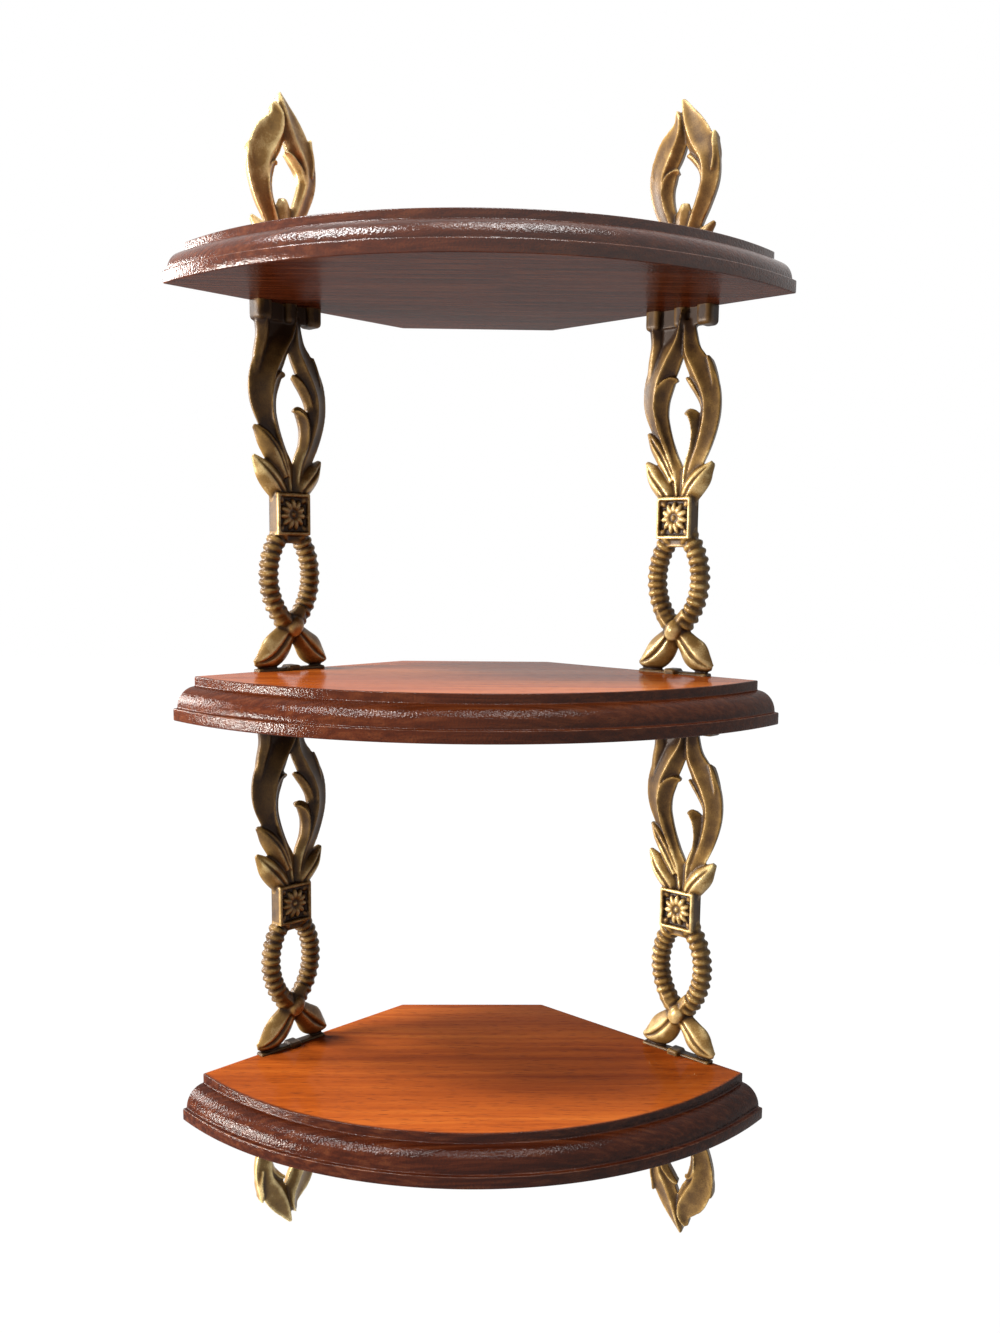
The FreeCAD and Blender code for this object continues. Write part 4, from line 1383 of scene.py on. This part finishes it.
@dataclass(frozen=True)
class RopeLoop:
    """Two ribbed strands that cross over a bud, spread and meet again. Sizes in millimetres.

    Attributes:
        crossing: Height at which the strands cross.
        rise: From the crossing up to the widest place.
        spread: Half width of the loop there.
        height: From the crossing up to the loop's top.
        start: From the crossing up to the lowest rib.
        shift: How far the loop stands to the right.
        rib_half_width, rib_half_depth: Half sizes of a rib.
        rib_relief: Distance of a rib's middle from the wall.
        rib_count: Ribs on a strand.
        rib_overlap: Half length of a rib as a share of the ribs' pitch.
        core_half_width, core_depth: Sizes of the core under the ribs.
        core_points: Places on the core's spine.
        bud_centre, bud_size, bud_lean: Middle, half sizes and turn of the bud.
    """

    crossing: float = 24.0
    rise: float = 28.8
    spread: float = 14.3
    height: float = 51.0
    start: float = 5.0
    shift: float = 0.7
    rib_half_width: float = 5.8
    rib_half_depth: float = 6.4
    rib_relief: float = 1.4
    rib_count: int = 12
    rib_overlap: float = 0.64
    core_half_width: float = 4.6
    core_depth: float = 6.9
    core_points: int = 7
    bud_centre: Triple = (1.2, -5.4, 24.6)
    bud_size: Triple = (5.2, 4.8, 6.6)
    bud_lean: float = -0.61

    @property
    def top(self) -> float:
        """Height of the loop's top."""
        return self.crossing + self.height

    def solids(self, beads: BeadTree) -> list[Object]:
        """The bud and the two strands.

        Args:
            beads: Node tree of ribs and petals.

        Returns:
            The bud, and a core and a row of ribs for each strand.
        """
        radius = (self.rise ** 2 + self.spread ** 2) / (2 * self.spread)
        first = math.asin((self.start - self.rise) / radius)
        last = math.asin((self.height - self.rise) / radius)
        pitch = radius * (last - first) / (self.rib_count - 1)
        level = self.crossing + self.rise
        rib = (self.rib_half_width, self.rib_half_depth, pitch * self.rib_overlap)
        solids = [beads.row("bud", 1, self.bud_centre, self.bud_size, angles=(self.bud_lean, self.bud_lean))]
        for side in Side:
            middle = self.shift + side.value * (self.spread - radius)
            angles = (first, last) if side is Side.RIGHT else (math.pi - first, math.pi - last)
            spine = arc((middle, level), radius, *angles, self.core_points)
            core = Leaf(tuple((*point, self.core_half_width, self.core_depth) for point in spine),
                        undercut=1.0, fullness=0.5)
            solids.append(core.solid("%s_core" % side.word))
            centre = (middle, -self.rib_relief, level)
            solids.append(beads.row("%s_strand" % side.word, self.rib_count, centre, rib, radius, angles))
        return solids


@dataclass(frozen=True)
class RosetteBlock:
    """A square block on a neck, with petals, a domed middle and darts on its sunk panel. Millimetres.

    Attributes:
        half_width, half_height, depth: Sizes of the block.
        border: Width of the border around the panel.
        border_overlap: How far the border runs into the panel.
        border_rounding: Rounding of the border.
        recess: Depth of the panel under the border.
        panel_darkening: How much darker the panel is.
        panel_fade: Heights over the panel at which that is full and gone.
        petal_count: Petals of the rosette.
        petal_inner, petal_outer: Distances of the petals' ends from the middle.
        petal_half_width, petal_relief: Half width of a petal, and its height over the panel.
        dome_radius: Radius of the rosette's middle.
        dart_count, dart_size: Number and half sizes of the darts in the panel's corners.
        dart_reach: Distance of the darts from the middle.
        neck_half_width, neck_depth: Sizes of the neck.
        neck_drop: From the block down to the neck's foot.
        neck_overlap: How far the neck runs into the block.
    """

    half_width: float = 11.2
    half_height: float = 11.5
    depth: float = 8.5
    border: float = 1.9
    border_overlap: float = 1.0
    border_rounding: float = 0.4
    recess: float = 2.6
    panel_darkening: float = 0.22
    panel_fade: Pair = (0.3, 1.4)
    petal_count: int = 11
    petal_inner: float = 1.7
    petal_outer: float = 8.8
    petal_half_width: float = 1.76
    petal_relief: float = 2.6
    dome_radius: float = 1.7
    dart_count: int = 4
    dart_size: Triple = (2.4, 1.6, 1.6)
    dart_reach: float = 11.2
    neck_half_width: float = 7.0
    neck_depth: float = 6.0
    neck_drop: float = 4.4
    neck_overlap: float = 1.0

    def neck(self, foot: float) -> Object:
        """The neck that joins the rope to the block.

        Args:
            foot: Height of the block's foot.

        Returns:
            The neck, running past the wall.
        """
        return block("neck", (-self.neck_half_width, -self.neck_depth, foot - self.neck_drop),
                     (self.neck_half_width, PAST_WALL, foot + self.neck_overlap))

    def solids(self, beads: BeadTree, foot: float) -> list[Object]:
        """The block, its border and the ornament on its panel.

        Args:
            beads: Node tree of ribs and petals.
            foot: Height of the block's foot.

        Returns:
            Overlapping closed solids.
        """
        half = self.half_height
        middle = foot + half
        floor = -self.depth + self.recess
        wide = self.half_width
        solids = [block("panel", (-wide, floor, middle - half), (wide, PAST_WALL, middle + half))]
        inner = half - self.border
        side = wide - self.border
        for low_x, high_x, low_z, high_z in ((-wide, wide, inner, half), (-wide, wide, -half, -inner),
                                             (-wide, -side, -half, half), (side, wide, -half, half)):
            solids.append(block("border", (low_x, -self.depth, middle + low_z),
                                (high_x, floor + self.border_overlap, middle + high_z), self.border_rounding))
        centre = (0.0, floor, middle)
        length = (self.petal_outer - self.petal_inner) / 2
        upwards = math.pi / 2
        full_turn = 2 * math.pi * (self.petal_count - 1) / self.petal_count
        petal = (length, self.petal_relief, self.petal_half_width)
        solids.append(beads.row("petals", self.petal_count, centre, petal, self.petal_inner + length,
                                (upwards, upwards + full_turn)))
        solids.append(beads.row("dome", 1, centre, (self.dome_radius, self.recess, self.dome_radius)))
        solids.append(beads.row("darts", self.dart_count, centre, self.dart_size, self.dart_reach,
                                (math.pi / 4, math.pi * 7 / 4)))
        return solids

    def panel_loss(self, points: np.ndarray, foot: float) -> np.ndarray:
        """How much darker the gilding is on the sunk panel.

        Args:
            points: Places on the casting.
            foot: Height of the block's foot.

        Returns:
            The loss of brightness at each place.
        """
        start, gone = (self.depth - self.recess + fade for fade in self.panel_fade)
        inside = np.abs(points[:, 2] - foot - self.half_height) < self.half_height - self.border
        inside &= np.abs(points[:, 0]) < self.half_width
        # Darker on the sunk panel.
        return self.panel_darkening * inside * (1.0 - smooth_step(-points[:, 1], start, gone))


@dataclass(eq=False)
class Upright(Casting):
    """The upright: foot plate, leaf feet, rope loop, rosette block, leaves, flame of two blades and flange.

    Attributes:
        foot, rope, rosette, flange: Its sub-parts from below.
        FEET: Leaves of the feet and of the crossing.
        FLAME: Blades, barbs and leaves over the block.
    """

    height: float = 198.5
    gilding: float = 0.46
    foot: FootPlate = FootPlate()
    rope: RopeLoop = RopeLoop()
    rosette: RosetteBlock = RosetteBlock()
    flange: Flange = Flange()

    LIGHT_AND_SHADE_BANDS = {
        # Painted shade on the foot plate under the leaf feet.
        "foot_plate": Stretch(0.30, fall=(2.4, 4.4)),
        # Painted light on the feet.
        "feet": Stretch(-0.08, rise=(3.0, 8.0), fall=(19.0, 24.0)),
        # Darker on the rope.
        "rope": Stretch(0.10, rise=(24.0, 30.0), fall=(72.0, 75.0)),
        # Painted light on the leaves.
        "leaves": Stretch(-0.08, rise=(98.0, 101.0), fall=(113.0, 123.0)),
        # Painted shadow of the board above, on the flame.
        "flame": Stretch(0.13, rise=(119.0, 129.0)),
        # Painted shade on the flange under the board.
        "flange": Stretch(0.28, rise=(174.3, 190.3)),
    }
    FEET = {
        "rear_foot": Leaf(((-6.5, 31.0, 4.4, 6.4), (1.0, 24.5, 4.6, 6.8), (8.2, 17.4, 6.8, 7.6),
                           (13.2, 12.2, 8.7, 8.2), (17.8, 8.4, 7.5, 7.8), (22.4, 5.8, 4.3, 6.2),
                           (25.4, 4.6, 1.4, 4.2)), edge=1.8, crease=0.35, fullness=0.6),
        "front_foot": Leaf(((6.5, 31.0, 4.4, 7.6), (0.5, 24.5, 5.2, 8.0), (-7.4, 14.6, 8.8, 8.6),
                            (-13.8, 8.8, 8.4, 8.6), (-19.8, 5.8, 5.0, 6.8), (-24.4, 4.8, 1.4, 3.2)),
                           edge=1.6, crease=0.40, fullness=0.6),
        "strand_end": Leaf(((-10.0, 36.0, 4.4, 7.4), (-6.0, 30.5, 5.0, 8.2), (-1.5, 26.0, 4.6, 8.2),
                            (2.0, 22.5, 2.0, 6.6)), fullness=0.5),
        "crossing_strand": Leaf(((8.5, 34.5, 4.2, 7.8), (4.2, 28.6, 5.0, 8.4), (0.8, 24.2, 4.8, 8.4),
                                 (-2.4, 19.6, 2.0, 6.4)), fullness=0.5),
    }
    FLAME = {
        "front_blade": Leaf(((0.5, 93.0, 2.6, 6.0), (-3.4, 113.0, 3.8, 6.5), (-12.8, 134.5, 6.3, 8.0),
                             (-17.0, 148.0, 8.3, 9.2), (-15.5, 160.5, 9.6, 9.8), (-9.6, 172.5, 9.2, 10.0),
                             (-1.9, 183.5, 6.2, 10.2), (1.8, 197.0, 3.4, 10.2)), ridge=0.3, hollow=0.20),
        "rear_blade": Leaf(((3.4, 93.0, 2.6, 5.5), (9.2, 112.0, 4.6, 6.2), (15.2, 126.0, 5.7, 7.2),
                            (18.8, 138.0, 6.2, 8.0), (19.4, 148.0, 6.6, 8.2), (16.8, 157.0, 7.6, 8.4),
                            (11.6, 166.5, 7.4, 8.4), (5.9, 177.0, 5.8, 8.2), (4.4, 192.0, 3.4, 7.8)),
                           ridge=-0.3, edge=4.2, hollow=0.16),
        "strut": Leaf(((-20.8, 160.0, 2.4, 4.6), (-19.2, 171.0, 3.2, 6.0), (-17.0, 180.5, 3.7, 7.6),
                       (-17.0, 188.0, 4.3, 8.6), (-17.6, 196.0, 4.6, 9.0)), edge=4.0, fullness=0.7),
        "front_barb": Leaf(((0.6, 98.0, 2.4, 5.6), (-0.2, 111.0, 3.4, 6.4), (-4.4, 120.5, 3.0, 7.4),
                            (-8.8, 130.5, 3.3, 8.4), (-11.8, 140.5, 3.9, 9.2), (-12.2, 149.5, 4.5, 9.8),
                            (-10.0, 156.8, 4.6, 9.4), (-6.2, 160.8, 3.2, 7.6), (-2.0, 161.2, 1.0, 4.6)),
                           ridge=-0.5, edge=3.8, hollow=0.18),
        "upper_barb": Leaf(((15.2, 141.0, 1.4, 5.4), (14.0, 148.0, 2.2, 6.4), (10.6, 154.2, 2.6, 6.8),
                            (6.8, 158.8, 2.4, 6.2), (2.9, 162.0, 1.0, 4.6)), ridge=0.2),
        "lower_barb": Leaf(((4.5, 97.0, 2.4, 6.0), (6.4, 113.0, 3.8, 7.6), (10.3, 123.8, 3.6, 8.8),
                            (11.4, 132.2, 3.9, 9.2), (10.0, 139.2, 4.2, 9.2), (6.4, 142.8, 3.0, 7.8),
                            (2.9, 143.0, 1.0, 4.8)), ridge=-0.2, edge=3.8, hollow=0.10),
        "outer_thorn": Leaf(((20.6, 146.0, 1.6, 4.8), (21.2, 157.0, 2.2, 5.6), (19.0, 166.0, 2.0, 5.6),
                             (16.6, 172.6, 1.0, 5.2)), edge=3.8),
        "low_left_leaf": Leaf(((-4.4, 96.0, 5.4, 7.8), (-10.2, 103.2, 7.0, 9.4), (-15.8, 109.4, 6.3, 9.0),
                               (-20.4, 114.8, 3.3, 5.6), (-23.0, 118.0, 1.0, 3.2)),
                              edge=1.8, crease=0.35, fullness=0.6),
        "high_left_leaf": Leaf(((-3.2, 106.6, 3.8, 7.6), (-10.0, 118.8, 5.7, 9.2), (-15.8, 126.6, 5.0, 8.6),
                                (-20.2, 131.6, 2.5, 5.6), (-22.6, 133.4, 1.0, 3.2)),
                               ridge=0.2, edge=1.8, crease=0.35, fullness=0.6),
        "right_leaf": Leaf(((5.0, 96.0, 5.4, 7.8), (9.9, 102.8, 6.7, 10.4), (15.2, 108.8, 6.2, 10.2),
                            (19.4, 113.6, 3.2, 7.2), (21.8, 116.6, 1.0, 5.2)),
                           edge=2.4, crease=0.35, fullness=0.6),
    }

    def ornament(self, beads: BeadTree) -> list[Object]:
        """The upright's pieces before they run together.

        Args:
            beads: Node tree of ribs and petals.

        Returns:
            Overlapping closed solids.
        """
        block_foot = self.rope.top
        plain = self.foot.solids() + self.flange.solids(self.height) + [self.rosette.neck(block_foot)]
        carved = self.rope.solids(beads) + self.rosette.solids(beads, block_foot)
        return plain + carved + self.leaves(self.FEET) + self.leaves(self.FLAME)

    def darkening(self, points: np.ndarray) -> np.ndarray:
        """How much darker the gilding is painted: painted shade near the wall, the darkening of each stretch
        and of the sunk panel.
        """
        return super().darkening(points) + self.rosette.panel_loss(points, self.rope.top)


@dataclass(eq=False)
class Finial(Casting):
    """The finial: foot bar, two leaves, a bud and a flame of two blades with barbs and thorns.

    Attributes:
        base_half_length, base_height, base_depth, base_rounding: Sizes of the foot bar.
        FLAME: Blades, barbs, thorns, leaves and bud.
    """

    height: float = 86.0
    gilding: float = 0.48
    base_half_length: float = 21.0
    base_height: float = 9.0
    base_depth: float = 9.5
    base_rounding: float = 0.8

    FLAME = {
        "right_blade": Leaf(((1.9, 3.0, 4.1, 6.8), (7.6, 19.8, 4.8, 7.4), (12.8, 31.0, 5.4, 8.0),
                             (16.5, 42.0, 6.0, 8.4), (15.4, 53.0, 6.9, 8.6), (10.2, 62.0, 8.0, 8.6),
                             (5.4, 71.0, 6.8, 8.4), (1.6, 79.0, 3.8, 7.8), (-1.5, 85.6, 1.1, 6.0)),
                            ridge=-0.4, edge=4.8, hollow=0.18),
        "left_blade": Leaf(((-1.9, 3.0, 4.1, 6.8), (-7.0, 19.8, 4.6, 7.4), (-12.2, 31.0, 5.9, 8.0),
                            (-14.8, 42.0, 7.1, 8.6), (-13.7, 50.7, 8.2, 9.0), (-9.2, 60.0, 9.2, 9.2),
                            (-4.9, 67.5, 7.6, 9.2), (-3.4, 74.2, 4.4, 8.8), (-5.2, 80.0, 1.3, 6.6)),
                           ridge=0.45, edge=4.6, hollow=0.22),
        "left_barb": Leaf(((-1.5, 8.0, 2.2, 6.0), (-4.6, 20.0, 2.8, 7.2), (-8.8, 32.0, 3.1, 8.6),
                           (-9.8, 40.0, 3.5, 9.2), (-8.1, 46.0, 3.2, 8.6), (-5.4, 49.0, 2.0, 6.8),
                           (-2.8, 49.4, 1.0, 5.0)), ridge=-0.5, edge=4.4, hollow=0.18),
        "right_barb": Leaf(((2.5, 8.0, 2.2, 6.0), (9.2, 26.0, 2.2, 7.0), (13.4, 38.0, 2.4, 7.8),
                            (12.0, 47.0, 2.5, 8.0), (7.8, 52.6, 2.3, 7.4), (4.4, 55.4, 1.8, 6.6),
                            (1.8, 56.2, 1.0, 5.2)), ridge=0.1, edge=4.2),
        "left_thorn": Leaf(((-18.0, 42.0, 1.6, 5.0), (-19.8, 49.0, 1.8, 5.4), (-20.4, 57.2, 1.0, 4.4)),
                           edge=3.8),
        "right_thorn": Leaf(((18.8, 46.0, 1.6, 7.2), (19.8, 54.0, 1.9, 7.4), (18.8, 61.0, 1.7, 7.0),
                             (18.9, 66.0, 1.0, 6.0)), edge=4.8),
        "left_leaf": Leaf(((-3.0, 5.0, 4.6, 7.8), (-9.4, 11.0, 5.2, 9.0), (-14.0, 15.6, 3.8, 8.2),
                           (-17.0, 18.6, 2.2, 5.8), (-19.2, 20.8, 1.0, 3.4)),
                          edge=1.8, crease=0.35, fullness=0.6),
        "right_leaf": Leaf(((3.0, 5.0, 4.6, 7.8), (9.4, 11.0, 5.2, 9.0), (14.0, 15.6, 3.8, 8.2),
                            (17.0, 18.6, 2.2, 5.8), (19.4, 20.8, 1.0, 3.4)),
                           edge=1.8, crease=0.35, fullness=0.6),
        "bud": Leaf(((0.7, 6.0, 7.0, 7.0), (0.6, 20.0, 7.4, 7.2), (0.7, 25.6, 6.0, 7.2),
                     (0.8, 29.4, 4.0, 6.8), (0.9, 32.4, 2.6, 5.4)), fullness=0.5),
    }

    def ornament(self, beads: BeadTree) -> list[Object]:
        """The finial's pieces before they run together.

        Args:
            beads: Node tree of ribs and petals; not used, as the finial has none.

        Returns:
            Overlapping closed solids.
        """
        low = (-self.base_half_length, -self.base_depth, -PAST_WALL)
        high = (self.base_half_length, PAST_WALL, self.base_height)
        return [block("base_bar", low, high, self.base_rounding)] + self.leaves(self.FLAME)


@dataclass
class CastingSet:
    """All eight castings, set over the frame's studs. Sizes in millimetres.

    Attributes:
        stud_inset: Stud axis from the wall.
        COPY_LIGHT_AND_SHADE: Painted light and shade of each copy: how much brighter its gilding is painted
            than its kind's.
    """

    stud_inset: float = 5.0

    # Painted light and shade: each copy's gilding is made brighter or darker for how the light falls on it.
    COPY_LIGHT_AND_SHADE = {
        "left_top_finial": 0.12, "left_upper_upright": -0.02,
        "left_lower_upright": -0.06, "left_drop_finial": 0.09,
        "right_top_finial": -0.06, "right_upper_upright": 0.0,
        "right_lower_upright": 0.0, "right_drop_finial": -0.10,
    }

    def spot(self, node: str, stud: str, side: Side, hanging: bool) -> Vector:
        """Middle of a casting's foot on the wall.

        Args:
            node: The casting's node.
            stud: A stud on the casting's middle line.
            side: Wall that carries it.
            hanging: Whether it hangs down from its foot.

        Returns:
            The place.
        """
        low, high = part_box(stud)
        centre = (low + high) / 2 / MM
        to_wall = self.stud_inset * math.cos(math.pi / 4)
        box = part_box(node)
        return Vector((centre.x + side.value * to_wall, centre.y + to_wall, box[1 if hanging else 0].z / MM))

    def build(self, material: Material) -> None:
        """Make both castings once and set four copies of each.

        Args:
            material: Finish of the castings.
        """
        beads = BeadTree(material)
        upright = Upright()
        finial = Finial()
        meshes = {kind: kind.mesh(beads) for kind in (upright, finial)}
        kinds = (("top_finial", "stud", finial), ("upper_upright", "head_stud", upright),
                 ("lower_upright", "head_stud", upright), ("drop_finial", "stud", finial))
        for side in Side:
            for level, stud, kind in kinds:
                node = "%s_%s" % (side.word, level)
                hanging = level == "drop_finial"
                spot = self.spot(node, "%s_%s" % (node, stud), side, hanging)
                kind.place(meshes[kind], node, side, spot, hanging, self.COPY_LIGHT_AND_SHADE[node], material)
        for mesh in meshes.values():
            bpy.data.meshes.remove(mesh)
        bpy.data.node_groups.remove(beads.tree)


# Stage
@dataclass(frozen=True)
class PhotoCamera:
    """The photograph's viewpoint.

    Attributes:
        place: Place of the lens in millimetres.
        yaw: Turn about Z in degrees, as the first of three turns.
        pitch: Tilt up in degrees.
        roll: Roll about the view in degrees.
        focal: Focal length in pixels.
        axis_pixel: Pixel that the optical axis meets.
        image: Width and height of the photograph in pixels.
        sensor: Longer side of the sensor in millimetres.
    """

    place: Triple = (-11.64, -664.40, 77.39)
    yaw: float = -1.500
    pitch: float = -7.621
    roll: float = -0.563
    focal: float = 1232.6
    axis_pixel: Pair = (487.8, 718.3)
    image: Pair = (1000.0, 1333.0)
    sensor: float = 36.0

    def build(self) -> None:
        """Make the camera and use it for the scene."""
        width, height = self.image
        data = bpy.data.cameras.new("photo_camera")
        data.sensor_width = self.sensor
        data.lens = self.focal / height * self.sensor
        data.shift_x = (width / 2 - self.axis_pixel[0]) / height
        data.shift_y = (self.axis_pixel[1] - height / 2) / height
        camera = bpy.data.objects.new("photo_camera", data)
        turns = ((self.yaw, "Z"), (self.pitch, "X"), (self.roll, "Y"))
        yaw, pitch, roll = (Matrix.Rotation(math.radians(angle), 3, axis) for angle, axis in turns)
        right, forward, up = (yaw @ pitch @ roll).col
        axes = Matrix((right, up, -forward)).transposed()
        camera.matrix_world = Matrix.Translation(Vector(self.place) * MM) @ axes.to_4x4()
        bpy.context.scene.collection.objects.link(camera)
        bpy.context.scene.camera = camera


@dataclass(frozen=True)
class SoftLamp:
    """A square area lamp aimed at the frame's origin, in the part's middle. Metres and watts.

    Attributes:
        name: Name of the lamp.
        place: Its place.
        size: Length of its sides.
        power: Its power.
        colour: Colour of its light.
    """

    name: str
    place: Triple
    size: float
    power: float
    colour: Colour = (1.0, 1.0, 1.0)

    def build(self) -> None:
        """Make the lamp."""
        data = bpy.data.lights.new(self.name, "AREA")
        data.size = self.size
        data.energy = self.power
        data.color = self.colour
        lamp = bpy.data.objects.new(self.name, data)
        lamp.location = self.place
        lamp.rotation_mode = "QUATERNION"
        lamp.rotation_quaternion = (-Vector(self.place)).to_track_quat("-Z", "Y")
        bpy.context.scene.collection.objects.link(lamp)


@dataclass
class Studio:
    """A white room: pale floor far below the hung part, soft lamps and a white surround.

    Attributes:
        floor_level: Height of the floor in metres.
        floor_size: Side of the floor in metres.
        floor_colour: Colour of the floor.
        surround: Light level of the surround on the part.
        glow: Level at which the floor shows.
        glow_share: Share of that in what is seen of the floor, near the part and far from it.
        glow_limits: Distances from the part, in metres, that give those two.
        lamps: The lamps.
    """

    floor_level: float = -1.3
    floor_size: float = 30.0
    floor_colour: Colour = (0.85, 0.85, 0.85)
    surround: float = 0.07
    glow: float = 1.03
    glow_share: Pair = (0.95, 1.0)
    glow_limits: Pair = (2.0, 4.5)
    lamps: tuple[SoftLamp, ...] = (
        SoftLamp("window", (-1.66, 0.84, 0.50), 0.60, 42.0, (1.0, 0.97, 0.93)),
        SoftLamp("key", (-1.86, -0.42, -0.13), 0.50, 84.0, (1.0, 0.95, 0.88)),
        SoftLamp("fill", (0.25, -0.45, 2.05), 0.60, 22.0),
        SoftLamp("overhead", (-1.14, -0.52, 1.83), 0.45, 50.0),
    )

    def build(self) -> None:
        """Make the floor, the lamps and the surround."""
        half = self.floor_size / 2
        corners = ((-half, -half), (half, -half), (half, half), (-half, half))
        mesh = bpy.data.meshes.new("floor")
        mesh.from_pydata([(*corner, self.floor_level) for corner in corners], [], [(0, 1, 2, 3)])
        mesh.materials.append(self.floor_material())
        new_object("floor", mesh)
        for lamp in self.lamps:
            lamp.build()
        self.set_surround()

    def seen_ray(self, tree: NodeTree) -> NodeSocket:
        """Tell rays that show the background from those that light the part.

        Args:
            tree: Tree of the background.

        Returns:
            1 for a ray from the camera, by reflection or through glass.
        """
        path = tree.add("ShaderNodeLightPath")
        seen = path.outputs["Is Camera Ray"]
        for kind in ("Is Glossy Ray", "Is Transmission Ray"):
            seen = tree.math("MAXIMUM", seen, path.outputs[kind])
        return seen

    def floor_material(self) -> Material:
        """Pale floor that shows white and keeps a little of the part's shadow.

        Returns:
            The floor's material.
        """
        tree = ShaderTree("pale_floor")
        plain = tree.add("ShaderNodeBsdfDiffuse", {"Color": (*self.floor_colour, 1.0)})
        white = tree.add("ShaderNodeEmission", {"Strength": self.glow})
        away = tree.add("ShaderNodeVectorMath", {0: tree.object_place()}, operation="LENGTH").outputs["Value"]
        share = tree.spread(away, self.glow_limits, self.glow_share)
        share = tree.math("MULTIPLY", self.seen_ray(tree), share)
        mix = {0: share, 1: plain.outputs[0], 2: white.outputs[0]}
        return tree.finish(tree.add("ShaderNodeMixShader", mix))

    def set_surround(self) -> None:
        """White where it is seen, softer where it lights the part."""
        world = bpy.data.worlds.new("white_surround")
        world.use_nodes = True
        tree = NodeTree(world.node_tree)
        background = tree.tree.nodes["Background"]
        background.inputs["Color"].default_value = (1.0, 1.0, 1.0, 1.0)
        strength = tree.spread(self.seen_ray(tree), (0.0, 1.0), (self.surround, 1.0))
        tree.tree.links.new(strength, background.inputs["Strength"])
        bpy.context.scene.world = world


def main() -> None:
    """Build the shelf and its stage."""
    logging.basicConfig(level=logging.INFO)
    bpy.context.scene.view_settings.view_transform = "Standard"
    wood = VarnishedWood().material()
    gilt = AntiqueGilt().material()
    steel = StudSteel().material()
    for board in (Board("top_shelf", has_keyholes=True, stain=0.95, polish=0.20, edge_polish=0.9),
                  Board("middle_shelf", stain=0.95, polish=0.36, edge_polish=0.32), Board("bottom_shelf")):
        board.build(wood)
    CastingSet().build(gilt)
    for name in stud_names():
        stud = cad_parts[name]
        stud.data.materials.clear()
        stud.data.materials.append(steel)
        LOG.info("%s: kept from the frame", name)
    PhotoCamera().build()
    Studio().build()


if __name__ == "__main__":
    main()
